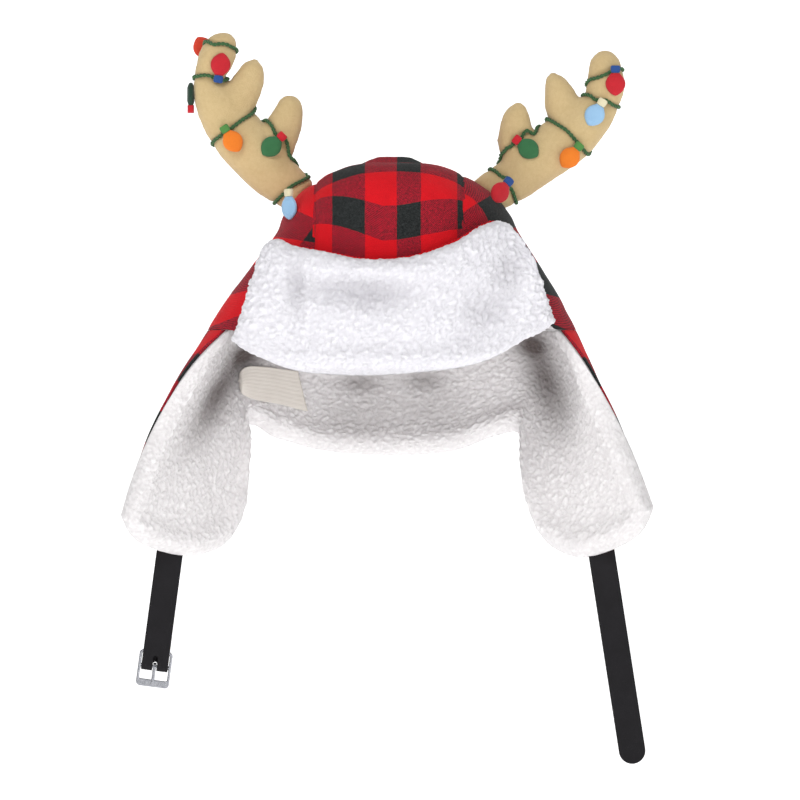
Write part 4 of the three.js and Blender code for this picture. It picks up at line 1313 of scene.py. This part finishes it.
def strap_left():
    turn = np.linspace(np.pi, 2 * np.pi, 16)
    down = np.arange(LEFT_LENGTH + TUCK, 0.5, -1.6)
    front = np.stack([-LOOP + 0 * down, down], -1)
    fold = np.stack([LOOP * np.cos(turn), LOOP * np.sin(turn)], -1)
    up = np.linspace(1, 24, 18)
    back = np.stack([LOOP - 3.0 * ease(up, 8, 24), up], -1)
    line = np.vstack([front, fold, back])
    points, faces = webbing(line, np.full(len(line), STRAP / 2))
    piece = make("strap_folded", strap_at(BAR, LEFT_AXIS, points), faces, STRAP_BLACK)
    outward(piece)
    cutters = []
    for low, high, near, far in ((-8, 8, -10, 0), (-8, 3.4, -5, 10)):
        angle = np.linspace(0, np.pi, 9)
        bow = [(SLOT_HALF * math.cos(a), high - SLOT_HALF + SLOT_HALF * math.sin(a)) for a in angle]
        outline = [(-SLOT_HALF, low), (SLOT_HALF, low), *bow]
        rings = np.array([[(x, y, z) for x, z in outline] for y in (near, far)])
        points, faces = lofted(rings, rings[0].mean(0), rings[1].mean(0))
        cutter = make("cutter", strap_at(BAR, LEFT_AXIS, points), faces, STRAP_BLACK)
        cutters.append(outward(cutter))
    for cutter in cutters:
        with_modifiers(piece, ("BOOLEAN", {"operation": "DIFFERENCE", "solver": "EXACT", "object": cutter}))
        bpy.data.objects.remove(cutter)
    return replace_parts(piece, "strap_left")


def cast_metal(node, name, body, voxel):
    piece = copy_of(node, name, voxel, 8)
    dress(piece, SILVER, body)
    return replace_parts(piece, node)


def silver_finish():
    finish = Finish("polished_silver", metallic=1.0)
    smear = finish.cloudy(3.0, 3)
    scratch = finish.cloudy(0.6, 4, distortion=2)
    colour = finish.mix(smear, rgb(184, 185, 190), rgb(124, 126, 132))
    return finish.paint(colour, smear * 0.14 + scratch * 0.08 + 0.1, scratch, 0.04)


def strap_finish():
    finish = Finish("black_webbing", specular_ior_level=0.2)
    grain = finish.cloudy(0.9, 4)
    wear = finish.cloudy(12, 3)
    rows = finish.cells(0.7)
    colour = finish.mix(wear * 0.5 + grain * 0.5, rgb(10, 9, 11), rgb(30, 28, 32))
    return finish.paint(colour, grain * 0.3 + 0.5, rows * 0.6 + grain * 0.6, 0.12)


def yarn_finish():
    finish = Finish("green_yarn", roughness=0.9, sheen_weight=0.2)
    fibre = finish.cloudy(0.5, 4, distortion=1)
    colour = finish.mix(fibre.rise(0.3, 0.75), rgb(34, 72, 38), rgb(74, 124, 70))
    return finish.paint(colour, None, fibre, 0.3)


CORD_YARN = yarn_finish()
STRAP_BLACK = strap_finish()
SILVER = silver_finish()
FELTS = {slot: felt_finish(slot.replace("_felt", "_bulb_felt"), rgb(*light), rgb(*dark))
         for slot, (light, dark) in FELT_COLOURS.items()}
SATIN = satin_finish()
crown_shell()
crown_lining()
curtain_shell()
curtain_lining()
brim_backing()
brim_pile()
inside_tab()
for side in ("left", "right"):
    wound_cord(side, antler(side))
    felt_bulbs(side)
strap_left()
strap_right()
cast_metal("buckle_frame", "buckle_ring", "hat", 0.24)
cast_metal("buckle_prong", "buckle_pin", "prong", 0.18)


WALL = 9.2
SWEEP = 1.2
FAR = 14.0


def studio():
    """A pale floor that sweeps up into a pale wall, metres behind the hat."""
    turn = np.linspace(0, np.pi / 2, 14)
    bend = [(WALL - SWEEP + SWEEP * math.sin(a), SWEEP - SWEEP * math.cos(a)) for a in turn]
    line = [(-FAR, 0), *bend, (WALL, FAR)]
    points = [(x, y, FLOOR + z) for y, z in line for x in (-FAR, FAR)]
    faces = [(2 * k, 2 * k + 1, 2 * k + 3, 2 * k + 2) for k in range(len(line) - 1)]
    shape = bpy.data.meshes.new("studio_sweep")
    shape.from_pydata(points, [], faces)
    shape.polygons.foreach_set("use_smooth", [True] * len(faces))
    finish = Finish("pale_paper", roughness=0.95, emission_color=(1, 1, 1, 1), emission_strength=0.68)
    pale = finish.mix(finish.cloudy(400, 2), rgb(250, 250, 250), rgb(246, 246, 247))
    shape.materials.append(finish.paint(pale))
    sweep = linked("studio_sweep", shape)


studio()
